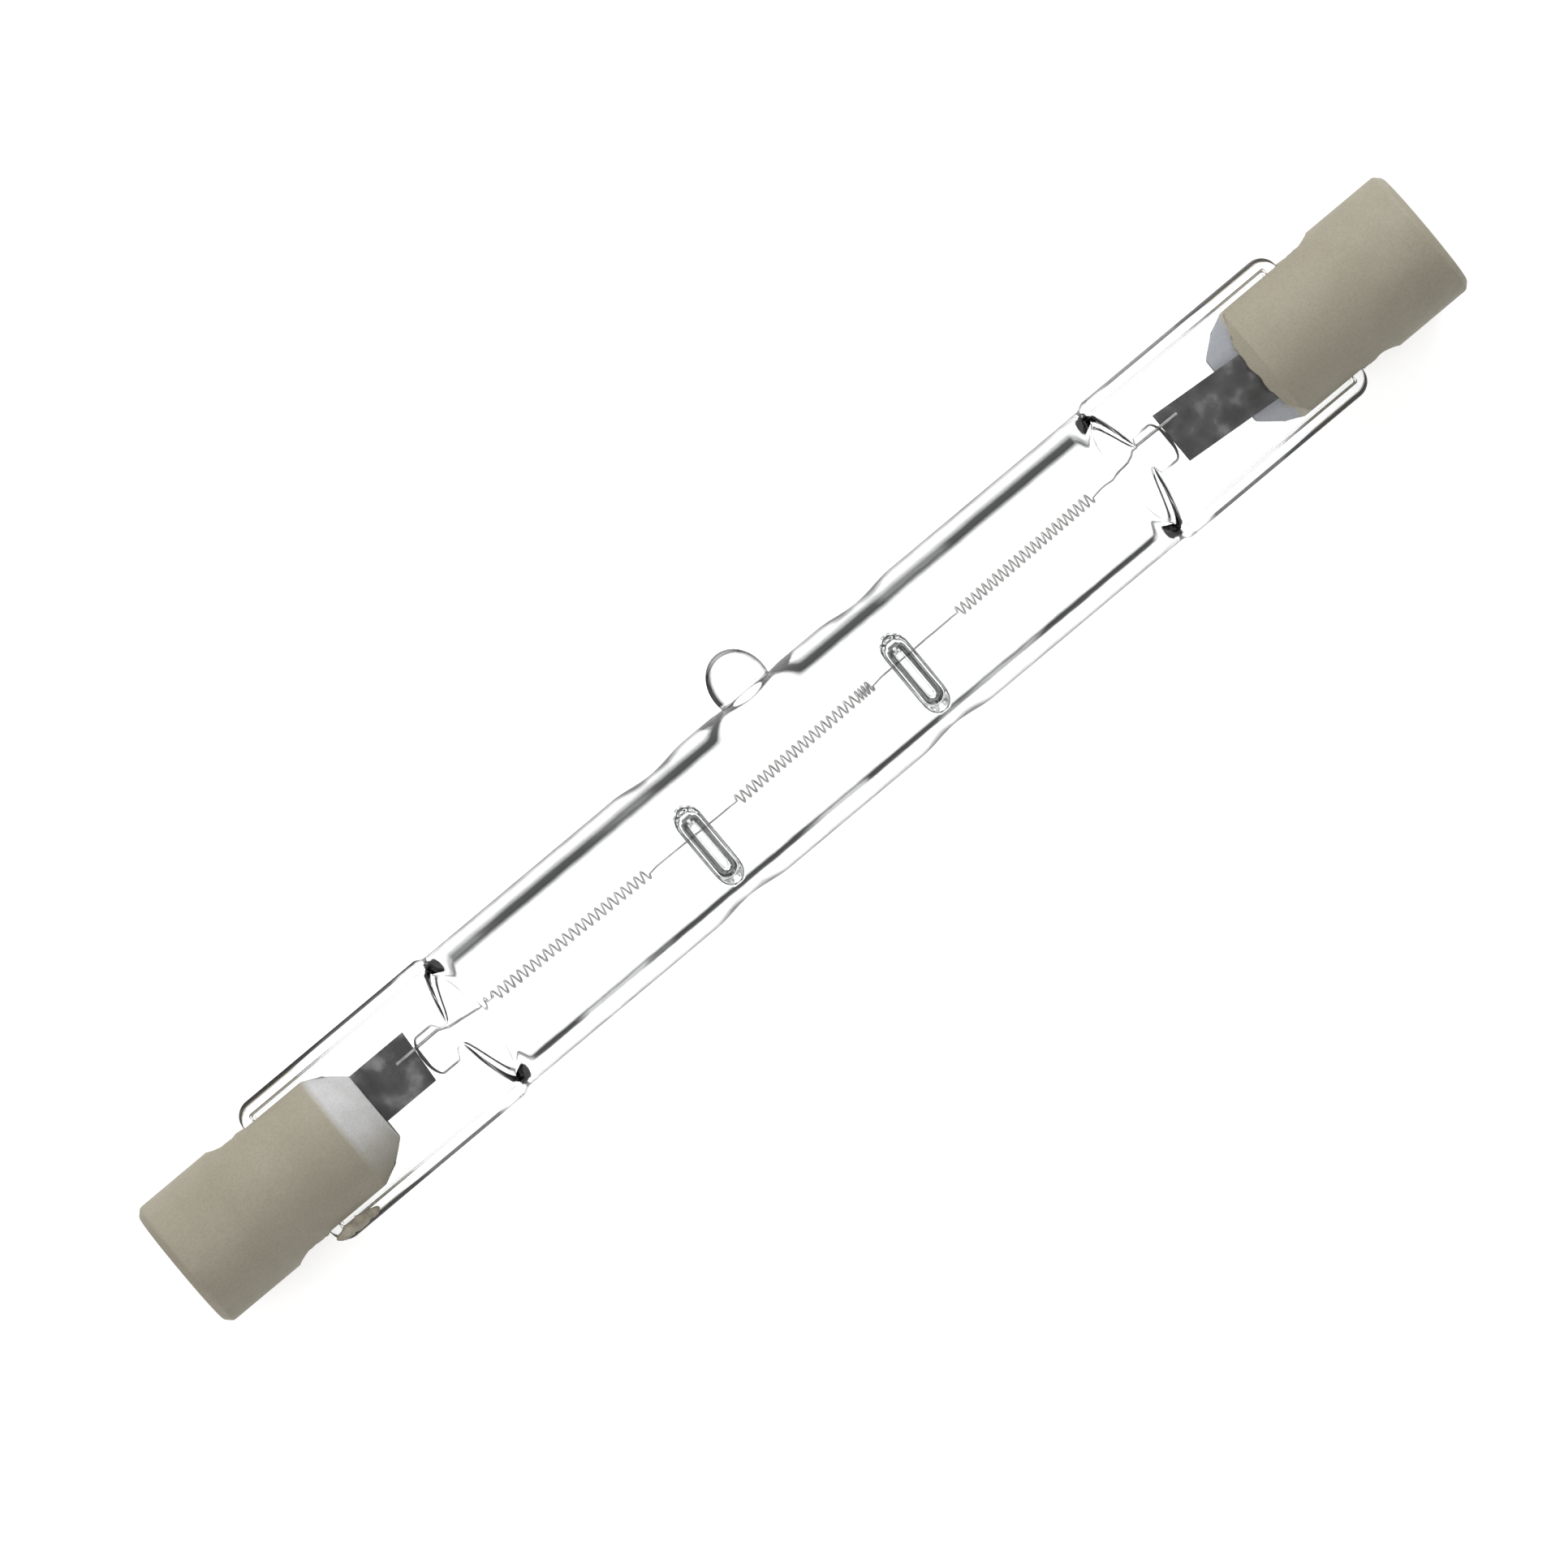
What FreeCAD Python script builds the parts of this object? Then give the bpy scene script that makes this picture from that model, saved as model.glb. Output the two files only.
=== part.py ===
import FreeCAD, Part
import math
import os

from FreeCAD import Rotation, Vector

import Sketcher

# Linear halogen bulb, 78 mm long, with a recessed contact at each end.
# The lamp's axis is X. The origin is where the axis meets the end face of the left cap.
# The flat of the pinch seals lies in the XY plane, +Z is up, and the exhaust tip points to +Y.

SIZES = (
    ("overall_length", 78.3, "end face to end face"),
    ("contact_depth", 1.7, "end face to the contact, at the bottom of the recess"),
    ("tube_diameter", 8.0, "outside of the quartz tube"),
    ("tube_wall", 0.95, "wall of the quartz tube"),
    ("cavity_setback", 19.2, "cap end face to where the cavity has its full width"),
    ("cavity_taper", 1.0, "length of the cavity's end wall along the axis"),
    ("shoulder_length", 2.8, "along the axis, from the flat of the pinch to the round tube"),
    ("waist_depth", 0.25, "how far the tube's sides are drawn in at a support"),
    ("waist_length", 4.6, "length of that drawn-in stretch"),
    ("pinch_setback", 6.65, "cap end face to the end of the pinch"),
    ("pinch_length", 11.0, "pressed flat length"),
    ("pinch_width", 8.4, "across both rails"),
    ("pinch_thickness", 2.6, "at the rails"),
    ("web_thickness", 2.0, "between the rails"),
    ("rail_width", 0.62, "raised border of the pinch"),
    ("pinch_corner", 0.9, "corner radius at the free end"),
    ("pinch_run_out", 0.85, "pressed edge that runs on beside the shoulder"),
    ("support_share", 0.343, "between the two pairs of dimples, as a share of the coils' room"),
    ("dimple_shift", 0.65, "dimple centre from the axis, away from the exhaust tip"),
    ("dimple_floor_length", 4.0, "across the tube, at the bottom of the dimple"),
    ("dimple_floor_width", 1.1, "along the tube, at the bottom of the dimple"),
    ("dimple_flare", 0.85, "how much wider the dimple's mouth is, on each side"),
    ("dimple_wall", 0.7, "glass between the dimple's floor and the wire"),
    ("grip_clearance", 0.02, "between the pressed glass and the wire"),
    ("tip_offset", 0.35, "exhaust tip from the lamp's middle, towards the left cap"),
    ("tip_height", 6.2, "top of the exhaust tip from the axis"),
    ("tip_diameter", 2.8, "bead at the end of the exhaust tip"),
    ("tip_neck_diameter", 2.5, "neck under the bead"),
    ("tip_foot_diameter", 4.5, "flare where the tip grows out of the tube"),
    ("tip_bore", 0.8, "mouth of the sealed bore inside the tip"),
    ("throat_width", 1.4, "opening of the cavity towards the pinch"),
    ("throat_height", 0.8, "height of that opening"),
    ("pocket_width", 2.3, "hollow left around the wire beside the foil"),
    ("pocket_length", 1.7, "length of that hollow"),
    ("pocket_height", 0.7, "height of that hollow"),
    ("pocket_corner", 0.5, "corner radius of that hollow"),
    ("pocket_shift", 0.2, "its centre from the axis, towards the exhaust tip"),
    ("wire_size", 0.19, "filament wire"),
    ("coil_diameter", 0.7, "outside of the coils"),
    ("coil_shift", 0.26, "coil axis from the lamp's axis, towards the exhaust tip"),
    ("coil_lead_in", 0.8, "slanting wire at each end of a coil, along the axis"),
    ("left_coil_setback", 20.0, "left cap's end face to the first coil, where the coils' room begins"),
    ("right_coil_setback", 20.6, "right cap's end face to the last coil, where the coils' room ends"),
    ("left_coil_from_share", 0.0, "share of the coils' room"),
    ("left_coil_to_share", 0.255, "share of the coils' room"),
    ("left_coil_pitch", 0.4, "along the axis, for each turn"),
    ("middle_coil_from_share", 0.4, "share of the coils' room"),
    ("middle_coil_to_share", 0.623, "share of the coils' room"),
    ("middle_coil_pitch", 0.365, "along the axis, for each turn"),
    ("right_coil_from_share", 0.772, "share of the coils' room"),
    ("right_coil_to_share", 1.0, "share of the coils' room"),
    ("right_coil_pitch", 0.343, "along the axis, for each turn"),
    ("leg_rise", 0.39, "how far each outer leg drifts sideways, from coil to pinch"),
    ("knee_step", 0.25, "sideways step of the wire where it enters the pinch"),
    ("weld_length", 1.1, "wire lying on the foil"),
    ("foil_width", 2.85, "molybdenum foil"),
    ("foil_length", 6.7, "molybdenum foil"),
    ("foil_thickness", 0.1, "molybdenum foil"),
    ("left_foil_setback", 15.4, "cap end face to the foil's inner end"),
    ("right_foil_setback", 15.9, "cap end face to the foil's inner end"),
    ("left_foil_shift", 0.5, "foil centre from the axis, towards the exhaust tip"),
    ("right_foil_shift", 0.1, "foil centre from the axis, towards the exhaust tip"),
    ("lead_diameter", 0.5, "outer lead"),
    ("lead_flat", 0.05, "depth of the flat where the lead lies on the foil"),
    ("lead_overlap", 1.2, "outer lead lying on the foil"),
    ("cap_diameter", 7.1, "ceramic cap"),
    ("cap_length", 12.2, "end face to the ends of the prongs"),
    ("cap_rim", 0.35, "bevel around the end face"),
    ("nose_length", 2.0, "bevel at the ends of the prongs"),
    ("nose_diameter", 4.8, "small end of that bevel"),
    ("slot_setback", 4.6, "end face to the bottom of the slot between the prongs"),
    ("slot_corner", 1.2, "rounding of the slot's bottom"),
    ("slot_clearance", 0.1, "between prong and pinch, on each side"),
    ("recess_diameter", 3.4, "contact recess in the end face"),
    ("seat_step", 0.05, "how far above the contact's face the recess narrows to its seat"),
    ("seat_clearance", 0.05, "around the contact's head"),
    ("stem_clearance", 0.05, "around the contact's stem"),
    ("chip_length", 1.35, "missing from the end of the right cap's upper prong"),
    ("chip_jag", 0.15, "unevenness of the broken edge"),
    ("contact_diameter", 2.9, "head of the contact"),
    ("contact_head", 0.5, "thickness of the head"),
    ("contact_crown", 0.2, "how far the head rises from its edge"),
    ("contact_flat", 2.2, "flat middle of the head"),
    ("stem_diameter", 1.1, "stem of the contact"),
    ("stem_length", 2.0, "stem of the contact"),
    ("cement_depth", 4.3, "cement along the slot, from its bottom"),
    ("cement_recess", 0.25, "cement below the cap's surface"),
)

COIL_STEPS = 7  # straight stretches in one turn of the coil
OVERRUN = 1.0  # how far a cutting tool passes the surface that it cuts
NEAR = 1e-6
TO_XZ = Rotation(Vector(1, 0, 0), 90)
TO_YZ = Rotation(Vector(1, 1, 1), 120)
END_FOR_END = Rotation(Vector(0, 0, 1), 180)
SIDES = ("left", "right")

# Broken edge of the chipped prong: share of the cap's radius, and share of the jag

BREAK_LINE = ((-1.5, -2.0), (-0.85, -1.2), (-0.45, 0.4), (0.0, -0.3), (0.4, 0.5), (0.8, -0.6), (1.5, -2.0))

# Expressions that several pieces share

TUBE_RADIUS = "Sizes.tube_diameter / 2"
CAVITY_RADIUS = "(Sizes.tube_diameter / 2 - Sizes.tube_wall)"
CENTRE = "Sizes.overall_length / 2"
PINCH_END = "(Sizes.pinch_setback + Sizes.pinch_length)"
SLOT_WIDTH = "(Sizes.pinch_thickness + 2 * Sizes.slot_clearance)"
COIL_ROOM = "(Sizes.overall_length - Sizes.left_coil_setback - Sizes.right_coil_setback)"
SEAT_EDGE = "(Sizes.contact_depth - Sizes.seat_step)"
SEAT_FLOOR = "(Sizes.contact_depth + Sizes.contact_head)"
STEM_END = f"({SEAT_FLOOR} + Sizes.stem_length)"
WIRE_CLEAR = "(Sizes.wire_size / sqrt(2) + Sizes.grip_clearance)"
DIMPLE_FLOOR = f"({WIRE_CLEAR} + Sizes.dimple_wall)"
DIMPLE_MOUTH = f"({TUBE_RADIUS} + Sizes.dimple_wall / 2)"
STATIONS = tuple(f"({CENTRE} {sign} Sizes.support_share * {COIL_ROOM} / 2)" for sign in "-+")
TIP_POSITION = f"({CENTRE} - Sizes.tip_offset)"
FOIL_TOP = "(Sizes.lead_flat - Sizes.lead_diameter / 2)"
WIRE_ROOM = "(Sizes.wire_size * 1.5)"
WELD_ROOM = "(Sizes.weld_length + Sizes.grip_clearance)"
WELD_LEVEL = f"({FOIL_TOP} + {WIRE_ROOM} / 2)"
WELD_SHIFT = "(Sizes.coil_shift + Sizes.leg_rise + Sizes.knee_step)"
BEAD_RADIUS = "(Sizes.tip_diameter / 2)"
TIP_NECK = (
    f"(Sizes.tip_height - {BEAD_RADIUS}"
    f" - sqrt({BEAD_RADIUS} ^ 2 - (Sizes.tip_neck_diameter / 2) ^ 2))"
)

doc = FreeCAD.newDocument("linear_halogen_bulb")
sheet = doc.addObject("Spreadsheet::Sheet", "Sizes")


def fill_sheet():
    for row, (alias, value, meaning) in enumerate(SIZES, start=1):
        sheet.set(f"A{row}", alias)
        sheet.set(f"B{row}", str(value))
        sheet.set(f"C{row}", meaning)
        sheet.setAlias(f"B{row}", alias)
    doc.recompute()


def number(text):
    """The value of an expression that names cells of the sheet."""
    value = sheet.evalExpression(text)
    return float(getattr(value, "Value", value))


def bind(item, **sizes):
    """Ties properties of an object to expressions; a double underscore stands for a dot."""
    for key, text in sizes.items():
        item.setExpression(key.replace("__", "."), text)
    return item


def shift(item, x="0", y="0", z="0"):
    return bind(item, Placement__Base__x=x, Placement__Base__y=y, Placement__Base__z=z)


def from_right(distance):
    """X of a point at a distance from the right cap's end face."""
    return f"(Sizes.overall_length - ({distance}))"


def place_x(side, start, length):
    """X of the left end of a piece that starts at a distance from its own cap's end face."""
    return start if side == "left" else from_right(f"{start} + {length}")


# Sketches: an outline is a list of corners. A corner is its two coordinates, and where an arc
# runs from it to the next corner, the arc's radius and the side it bulges to: 1 left, -1 right.


def arc_between(start, end, radius, bulge):
    chord = end - start
    left = Vector(-chord.y, chord.x, 0).normalize()
    sagitta = radius - math.sqrt(max(radius**2 - (chord.Length / 2) ** 2, 0.0))
    return Part.Arc(start, (start + end) / 2 + left * bulge * sagitta, end)


def add_sides(sketch, corners):
    """Draws the outline and returns which end of each side comes first."""
    places = [Vector(number(corner[0]), number(corner[1]), 0) for corner in corners]
    firsts = []
    for index, corner in enumerate(corners):
        start = places[index]
        end = places[(index + 1) % len(places)]
        if len(corner) == 2:
            sketch.addGeometry(Part.LineSegment(start, end), False)
            firsts.append(1)
            continue
        radius, bulge = corner[2:]
        arc = sketch.addGeometry(arc_between(start, end, number(radius), bulge), False)
        firsts.append(1 if sketch.getPoint(arc, 1).distanceToPoint(start) < NEAR else 2)
        size = sketch.addConstraint(Sketcher.Constraint("Radius", arc, number(radius)))
        sketch.setExpression(f"Constraints[{size}]", radius)
    return firsts


def add_outline(sketch, corners):
    """Closed outline with every corner placed, and every arc sized, by an expression."""
    firsts = add_sides(sketch, corners)
    for index, corner in enumerate(corners):
        before = (index - 1) % len(corners)
        here = (index, firsts[index])
        sketch.addConstraint(Sketcher.Constraint("Coincident", before, 3 - firsts[before], *here))
        for kind, axis, text in (("DistanceX", -2, corner[0]), ("DistanceY", -1, corner[1])):
            if text == "0":
                sketch.addConstraint(Sketcher.Constraint("PointOnObject", *here, axis))
            else:
                place = sketch.addConstraint(Sketcher.Constraint(kind, -1, 1, *here, number(text)))
                sketch.setExpression(f"Constraints[{place}]", text)


def free_sketch(name, corners, turn=None):
    sketch = doc.addObject("Sketcher::SketchObject", name)
    add_outline(sketch, corners)
    if turn:
        sketch.Placement.Rotation = turn
    return sketch


def body_sketch(body, role, corners):
    sketch = body.newObject("Sketcher::SketchObject", body.Name + "_sketch")
    plane = [item for item in body.Origin.OriginFeatures if item.Role == role][0]
    sketch.AttachmentSupport = (plane, [""])
    sketch.MapMode = "FlatFace"
    add_outline(sketch, corners)
    doc.recompute()
    return sketch


# Solids made from outlines, and the ways in which they are combined


def revolved(name, corners, axis, x="0"):
    """Solid of revolution of an outline in the XY plane about the X or Y axis."""
    solid = doc.addObject("Part::Revolution", name)
    solid.Source = free_sketch(name + "_outline", corners)
    solid.Axis = axis
    solid.Angle = 360
    solid.Solid = True
    return shift(solid, x=x)


def prism(name, corners, width):
    """Prism of an outline in the XZ plane, half its width on each side of that plane."""
    solid = doc.addObject("Part::Extrusion", name)
    solid.Base = free_sketch(name + "_outline", corners, TO_XZ)
    solid.DirMode = "Custom"
    solid.Dir = Vector(0, 1, 0)
    solid.Solid = True
    solid.Symmetric = True
    return bind(solid, LengthFwd=width)


def block(name, length, width, height, x, y="0", z="0"):
    """Box from x on, centred on y and z."""
    solid = doc.addObject("Part::Box", name)
    bind(solid, Length=length, Width=width, Height=height)
    return shift(solid, x=x, y=f"{y} - ({width}) / 2", z=f"{z} - ({height}) / 2")


def rod(name, diameter, length, x):
    """Cylinder on the X axis, from x on."""
    solid = doc.addObject("Part::Cylinder", name)
    solid.Placement.Rotation = Rotation(Vector(0, 1, 0), 90)
    bind(solid, Radius=f"({diameter}) / 2", Height=length)
    return shift(solid, x=x)


def cut(name, base, tool):
    result = doc.addObject("Part::Cut", name)
    result.Base = base
    result.Tool = tool
    return result


def common(name, *shapes):
    result = doc.addObject("Part::MultiCommon", name)
    result.Shapes = list(shapes)
    return result


def fused(name, *shapes):
    result = doc.addObject("Part::MultiFuse", name)
    result.Shapes = list(shapes)
    return result


def edges_along(shape, direction, x):
    """Numbers of the straight edges that run in a direction at a given X."""
    found = []
    for index, edge in enumerate(shape.Edges, start=1):
        ends = [vertex.Point for vertex in edge.Vertexes]
        if len(ends) == 2 and abs(ends[0].x - x) < NEAR:
            if abs(abs((ends[1] - ends[0]).dot(direction)) - edge.Length) < NEAR:
                found.append(index)
    return found


def rounded(name, base, direction, x, radius):
    """A Part solid with its edges in one direction rounded where they stand at a given X."""
    doc.recompute()
    result = doc.addObject("Part::Fillet", name)
    result.Base = base
    size = number(radius)
    result.Edges = [(edge, size, size) for edge in edges_along(base.Shape, direction, number(x))]
    return result


# Quartz envelope: a tube pressed flat at both ends, drawn to the wire at two places,
# and sealed where it was pumped out


def waists():
    """The tube's side from left to right, drawn in a little at each support."""
    corners = []
    for station in STATIONS:
        corners.append((f"{station} - Sizes.waist_length / 2", TUBE_RADIUS))
        corners.append((station, f"{TUBE_RADIUS} - Sizes.waist_depth"))
        corners.append((f"{station} + Sizes.waist_length / 2", TUBE_RADIUS))
    return corners


def pressed_outline(start, low, high):
    """Side view of the pressed tube: flat, S-curve of two equal arcs, full height, and back."""
    run = "(Sizes.shoulder_length / 2)"
    rise = f"((({high}) - ({low})) / 2)"
    radius = f"({run} ^ 2 + {rise} ^ 2) / (2 * {rise})"
    left = [
        (start, low),
        (f"{start} + {run}", f"(({low}) + ({high})) / 2"),
        (f"{start} + 2 * {run}", high),
    ]
    top = left + [(from_right(x), z) for x, z in reversed(left)]
    bulges = (-1, 1, None, 1, -1, None)
    corners = []
    for sign, path in (("1", top), ("-1", top[::-1])):
        for (x, z), bulge in zip(path, bulges):
            arc = (radius, bulge) if bulge else ()
            corners.append((x, f"{sign} * ({z})") + arc)
    return corners


def pressed_tube(name, round_corners, flat_start, low, high):
    """What the pressing jaws leave of a round form."""
    form = revolved(name + "_round", round_corners, Vector(1, 0, 0))
    jaws = prism(name + "_jaws", pressed_outline(flat_start, low, high), "2 * Sizes.tube_diameter")
    return common(name, form, jaws)


def tube_outside():
    start = f"{PINCH_END} - Sizes.rail_width"
    sides = [(start, "0"), (start, TUBE_RADIUS)]
    sides += waists()
    sides += [(from_right(start), TUBE_RADIUS), (from_right(start), "0")]
    return pressed_tube("tube_outside", sides, PINCH_END, "Sizes.pinch_thickness / 2", TUBE_RADIUS)


def tube_cavity():
    tapered = "Sizes.cavity_setback - Sizes.cavity_taper"
    sides = [(tapered, "0"), (tapered, "Sizes.throat_width / 2"), ("Sizes.cavity_setback", CAVITY_RADIUS)]
    sides += [(from_right(x), y) for x, y in reversed(sides[:3])]
    return pressed_tube("tube_cavity", sides, tapered, "Sizes.throat_height", CAVITY_RADIUS)


def pinch_blank(side):
    """Pressed flat, with the corners of its free end rounded."""
    length = "(Sizes.pinch_length + Sizes.pinch_run_out)"
    flat_x = place_x(side, "Sizes.pinch_setback", length)
    flat = block(f"pinch_blank_{side}", length, "Sizes.pinch_width", "Sizes.pinch_thickness", flat_x)
    free_end = "Sizes.pinch_setback" if side == "left" else from_right("Sizes.pinch_setback")
    return rounded(f"pinch_{side}", flat, Vector(0, 0, 1), free_end, "Sizes.pinch_corner")


def web_tool(side):
    """What is pressed into both faces between the rails."""
    length = "(Sizes.pinch_length - Sizes.rail_width)"
    width = "(Sizes.pinch_width - 2 * Sizes.rail_width)"
    web_x = place_x(side, "Sizes.pinch_setback + Sizes.rail_width", length)
    both = block(f"web_space_{side}", length, width, "2 * Sizes.pinch_thickness", web_x)
    web = block(f"web_{side}", length, width, "Sizes.web_thickness", web_x)
    return cut(f"web_tool_{side}", both, web)


def exhaust_tip():
    """Bead on a short neck that flares into the tube, turned about its own axis."""
    base = f"({CAVITY_RADIUS} + Sizes.tube_wall / 4)"
    neck = "Sizes.tip_neck_diameter / 2"
    foot = "Sizes.tip_foot_diameter / 2"
    corners = [
        ("0", base),
        (foot, base),
        (neck, TIP_NECK, "Sizes.tip_diameter / 2", -1),
        ("0", "Sizes.tip_height"),
    ]
    return revolved("exhaust_tip", corners, Vector(0, 1, 0), TIP_POSITION)


def tip_bore():
    """The pump hole, drawn to a point where it was sealed."""
    corners = [
        ("0", f"{CAVITY_RADIUS} / 2"),
        ("Sizes.tip_bore", f"{CAVITY_RADIUS} / 2"),
        ("0", f"{TIP_NECK} + Sizes.tip_bore"),
    ]
    return revolved("tip_bore", corners, Vector(0, 1, 0), TIP_POSITION)


def dimple_form(name, station, face, floor, growth):
    """Pit with round ends, tapered from its mouth to its floor; face 1 is the upper side, -1 the lower."""
    floor_radius = f"(Sizes.dimple_floor_width / 2 + {growth})"
    mouth_radius = f"({floor_radius} + Sizes.dimple_flare)"
    reach = "((Sizes.dimple_floor_length - Sizes.dimple_floor_width) / 2)"
    lower, upper = (floor, DIMPLE_MOUTH) if face == 1 else (DIMPLE_MOUTH, floor)
    radii = (floor_radius, mouth_radius) if face == 1 else (mouth_radius, floor_radius)
    solids = []
    for end in (-1, 1):
        cone = doc.addObject("Part::Cone", f"{name}_end_{len(solids)}")
        bind(cone, Radius1=radii[0], Radius2=radii[1], Height=f"{DIMPLE_MOUTH} - {floor}")
        solids.append(shift(cone, station, f"{end} * {reach} - Sizes.dimple_shift", f"{face} * {lower}"))
    sides = [
        (f"{station} - {floor_radius}", f"{face} * {floor}"),
        (f"{station} + {floor_radius}", f"{face} * {floor}"),
        (f"{station} + {mouth_radius}", f"{face} * {DIMPLE_MOUTH}"),
        (f"{station} - {mouth_radius}", f"{face} * {DIMPLE_MOUTH}"),
    ]
    middle = prism(f"{name}_middle", sides, f"2 * {reach}")
    return fused(name, shift(middle, y="-Sizes.dimple_shift"), *solids)


def dimple_forms(name, floor, growth):
    forms = []
    for station in STATIONS:
        for face in (1, -1):
            forms.append(dimple_form(f"{name}_{len(forms)}", station, face, floor, growth))
    return fused(name, *forms)


def seal_voids(side, foil):
    """Room in the pinch for the foil, the two wires that lie on it and the hollow beside it."""
    setback = SETBACKS[side]
    lead_start = "(Sizes.pinch_setback - Sizes.pinch_corner)"
    lead_length = f"({FOIL_ENDS[side]} + Sizes.lead_overlap - {lead_start})"
    lead_x = place_x(side, lead_start, lead_length)
    lead_room = rod(f"lead_room_{side}", "Sizes.lead_diameter", lead_length, lead_x)
    weld_length = f"({WELD_ROOM} + Sizes.wire_size)"
    weld_x = place_x(side, f"{setback} - {WELD_ROOM}", weld_length)
    weld_room = block(f"weld_room_{side}", weld_length, WIRE_ROOM, WIRE_ROOM, weld_x, WELD_SHIFT, WELD_LEVEL)
    hollow = ("Sizes.pocket_length", "Sizes.pocket_width", "Sizes.pocket_height")
    hollow_x = place_x(side, setback, "Sizes.pocket_length")
    pocket = block(f"pocket_blank_{side}", *hollow, hollow_x, "Sizes.pocket_shift")
    foil_end = setback if side == "left" else from_right(setback)
    pocket = rounded(f"pocket_{side}", pocket, Vector(0, 0, 1), foil_end, "Sizes.pocket_corner")
    throat_start = f"({setback} + Sizes.pocket_length - Sizes.pocket_corner)"
    throat_length = f"(Sizes.cavity_setback - {throat_start})"
    opening = (throat_length, "Sizes.throat_width", "Sizes.throat_height")
    throat_x = place_x(side, throat_start, throat_length)
    throat = block(f"throat_{side}", *opening, throat_x, "Sizes.coil_shift")
    return fused(f"seal_voids_{side}", foil, lead_room, weld_room, pocket, throat)


def quartz_envelope(foils, pinches, webs):
    outside = fused("outside_blank", tube_outside(), exhaust_tip(), *pinches)
    webbed = cut("outside_webbed", outside, fused("web_tools", *webs))
    dimpled = cut("outside", webbed, dimple_forms("dimples", DIMPLE_FLOOR, "0"))
    bulges = dimple_forms("bulges", WIRE_CLEAR, "Sizes.dimple_wall / 2")
    cavity = cut("cavity", tube_cavity(), bulges)
    seals = [seal_voids(side, foil) for side, foil in zip(SIDES, foils)]
    inside = fused("inside", cavity, tip_bore(), *seals)
    return cut("quartz_envelope", dimpled, inside)


# Foils, outer leads and filament


def seal_foil(side):
    foil_x = place_x(side, FOIL_ENDS[side], "Sizes.foil_length")
    level = f"{FOIL_TOP} - Sizes.foil_thickness / 2"
    sizes = ("Sizes.foil_length", "Sizes.foil_width", "Sizes.foil_thickness")
    return block(f"foil_{side}", *sizes, foil_x, f"Sizes.{side}_foil_shift", level)


def outer_lead(side, foil):
    """Round wire welded to the contact's stem, and flattened where it lies on the foil."""
    length = f"({FOIL_ENDS[side]} + Sizes.lead_overlap - {STEM_END})"
    wire = rod(f"lead_wire_{side}", "Sizes.lead_diameter", length, place_x(side, STEM_END, length))
    return cut(f"outer_lead_{side}", wire, foil)


def coil_points(name):
    """Line of one coil, with a point on its axis just before it and just after it."""
    place = "Sizes.left_coil_setback + Sizes.{}_coil_{}_share * " + COIL_ROOM
    start, end = (number(place.format(name, bound)) for bound in ("from", "to"))
    turns = round((end - start) / number(f"Sizes.{name}_coil_pitch"))
    pitch = (end - start) / turns
    radius = number("(Sizes.coil_diameter - Sizes.wire_size) / 2")
    axis = number("Sizes.coil_shift")
    lead_in = number("Sizes.coil_lead_in")
    points = [Vector(start - lead_in, axis, 0)]
    for step in range(turns * COIL_STEPS + 1):
        angle = 2 * math.pi * step / COIL_STEPS
        x = start + pitch * step / COIL_STEPS
        points.append(Vector(x, axis + radius * math.sin(angle), radius * math.cos(angle)))
    points.append(Vector(points[-1].x + lead_in, axis, 0))
    return points


def leg_points(side):
    """Line of an outer leg, from its free end on the foil to where it leaves the pinch."""
    setback = SETBACKS[side]
    knee = f"{setback} + Sizes.pocket_length"
    stations = (
        (f"{setback} - Sizes.weld_length", WELD_SHIFT, WELD_LEVEL),
        (f"{knee} - Sizes.knee_step", WELD_SHIFT, WELD_LEVEL),
        (f"{knee} + Sizes.knee_step", "Sizes.coil_shift + Sizes.leg_rise", "0"),
    )
    points = []
    for x, y, z in stations:
        x = x if side == "left" else from_right(x)
        points.append(Vector(number(x), number(y), number(z)))
    return points


def filament():
    """One wire: leg, three coils on the same axis with straight wire between them, and leg."""
    points = leg_points("left")
    for name in ("left", "middle", "right"):
        points += coil_points(name)
    points += reversed(leg_points("right"))
    route = doc.addObject("Part::Feature", "filament_route")
    route.Shape = Part.makePolygon(points)
    half = "Sizes.wire_size / 2"
    square = [(f"-{half}", f"-{half}"), (half, f"-{half}"), (half, half), (f"-{half}", half)]
    section = free_sketch("filament_section", square, TO_YZ)
    shift(section, f"{SETBACKS['left']} - Sizes.weld_length", WELD_SHIFT, WELD_LEVEL)
    wire = doc.addObject("Part::Sweep", "filament")
    wire.Sections = [section]
    wire.Spine = (route, [])
    wire.Solid = True
    wire.Frenet = False
    wire.Transition = "Right corner"
    return wire


# Ceramic caps and their contacts


def new_body(name, side):
    """Body drawn as the left one; the right one is the same piece, turned end for end."""
    body = doc.addObject("PartDesign::Body", f"{name}_{side}")
    if side == "right":
        body.Placement.Rotation = END_FOR_END
        bind(body, Placement__Base__x="Sizes.overall_length")
    return body


def turned(body, corners):
    """Revolves an outline about the body's X axis."""
    feature = body.newObject("PartDesign::Revolution", body.Name + "_turned")
    feature.Profile = body_sketch(body, "XY_Plane", corners)
    feature.ReferenceAxis = (feature.Profile[0], ["H_Axis"])
    feature.Angle = 360
    doc.recompute()
    return feature


def pocketed(body, role, corners, **settings):
    """Cuts an outline through the body, and makes sure that it took something away."""
    before = body.Shape.Volume
    feature = body.newObject("PartDesign::Pocket", body.Name + "_pocket")
    feature.Profile = body_sketch(body, role, corners)
    feature.Type = "ThroughAll"
    for setting, value in settings.items():
        setattr(feature, setting, value)
    doc.recompute()
    if body.Shape.Volume > before - NEAR:
        raise RuntimeError(f"{feature.Name} cuts nothing")
    return feature


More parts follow.
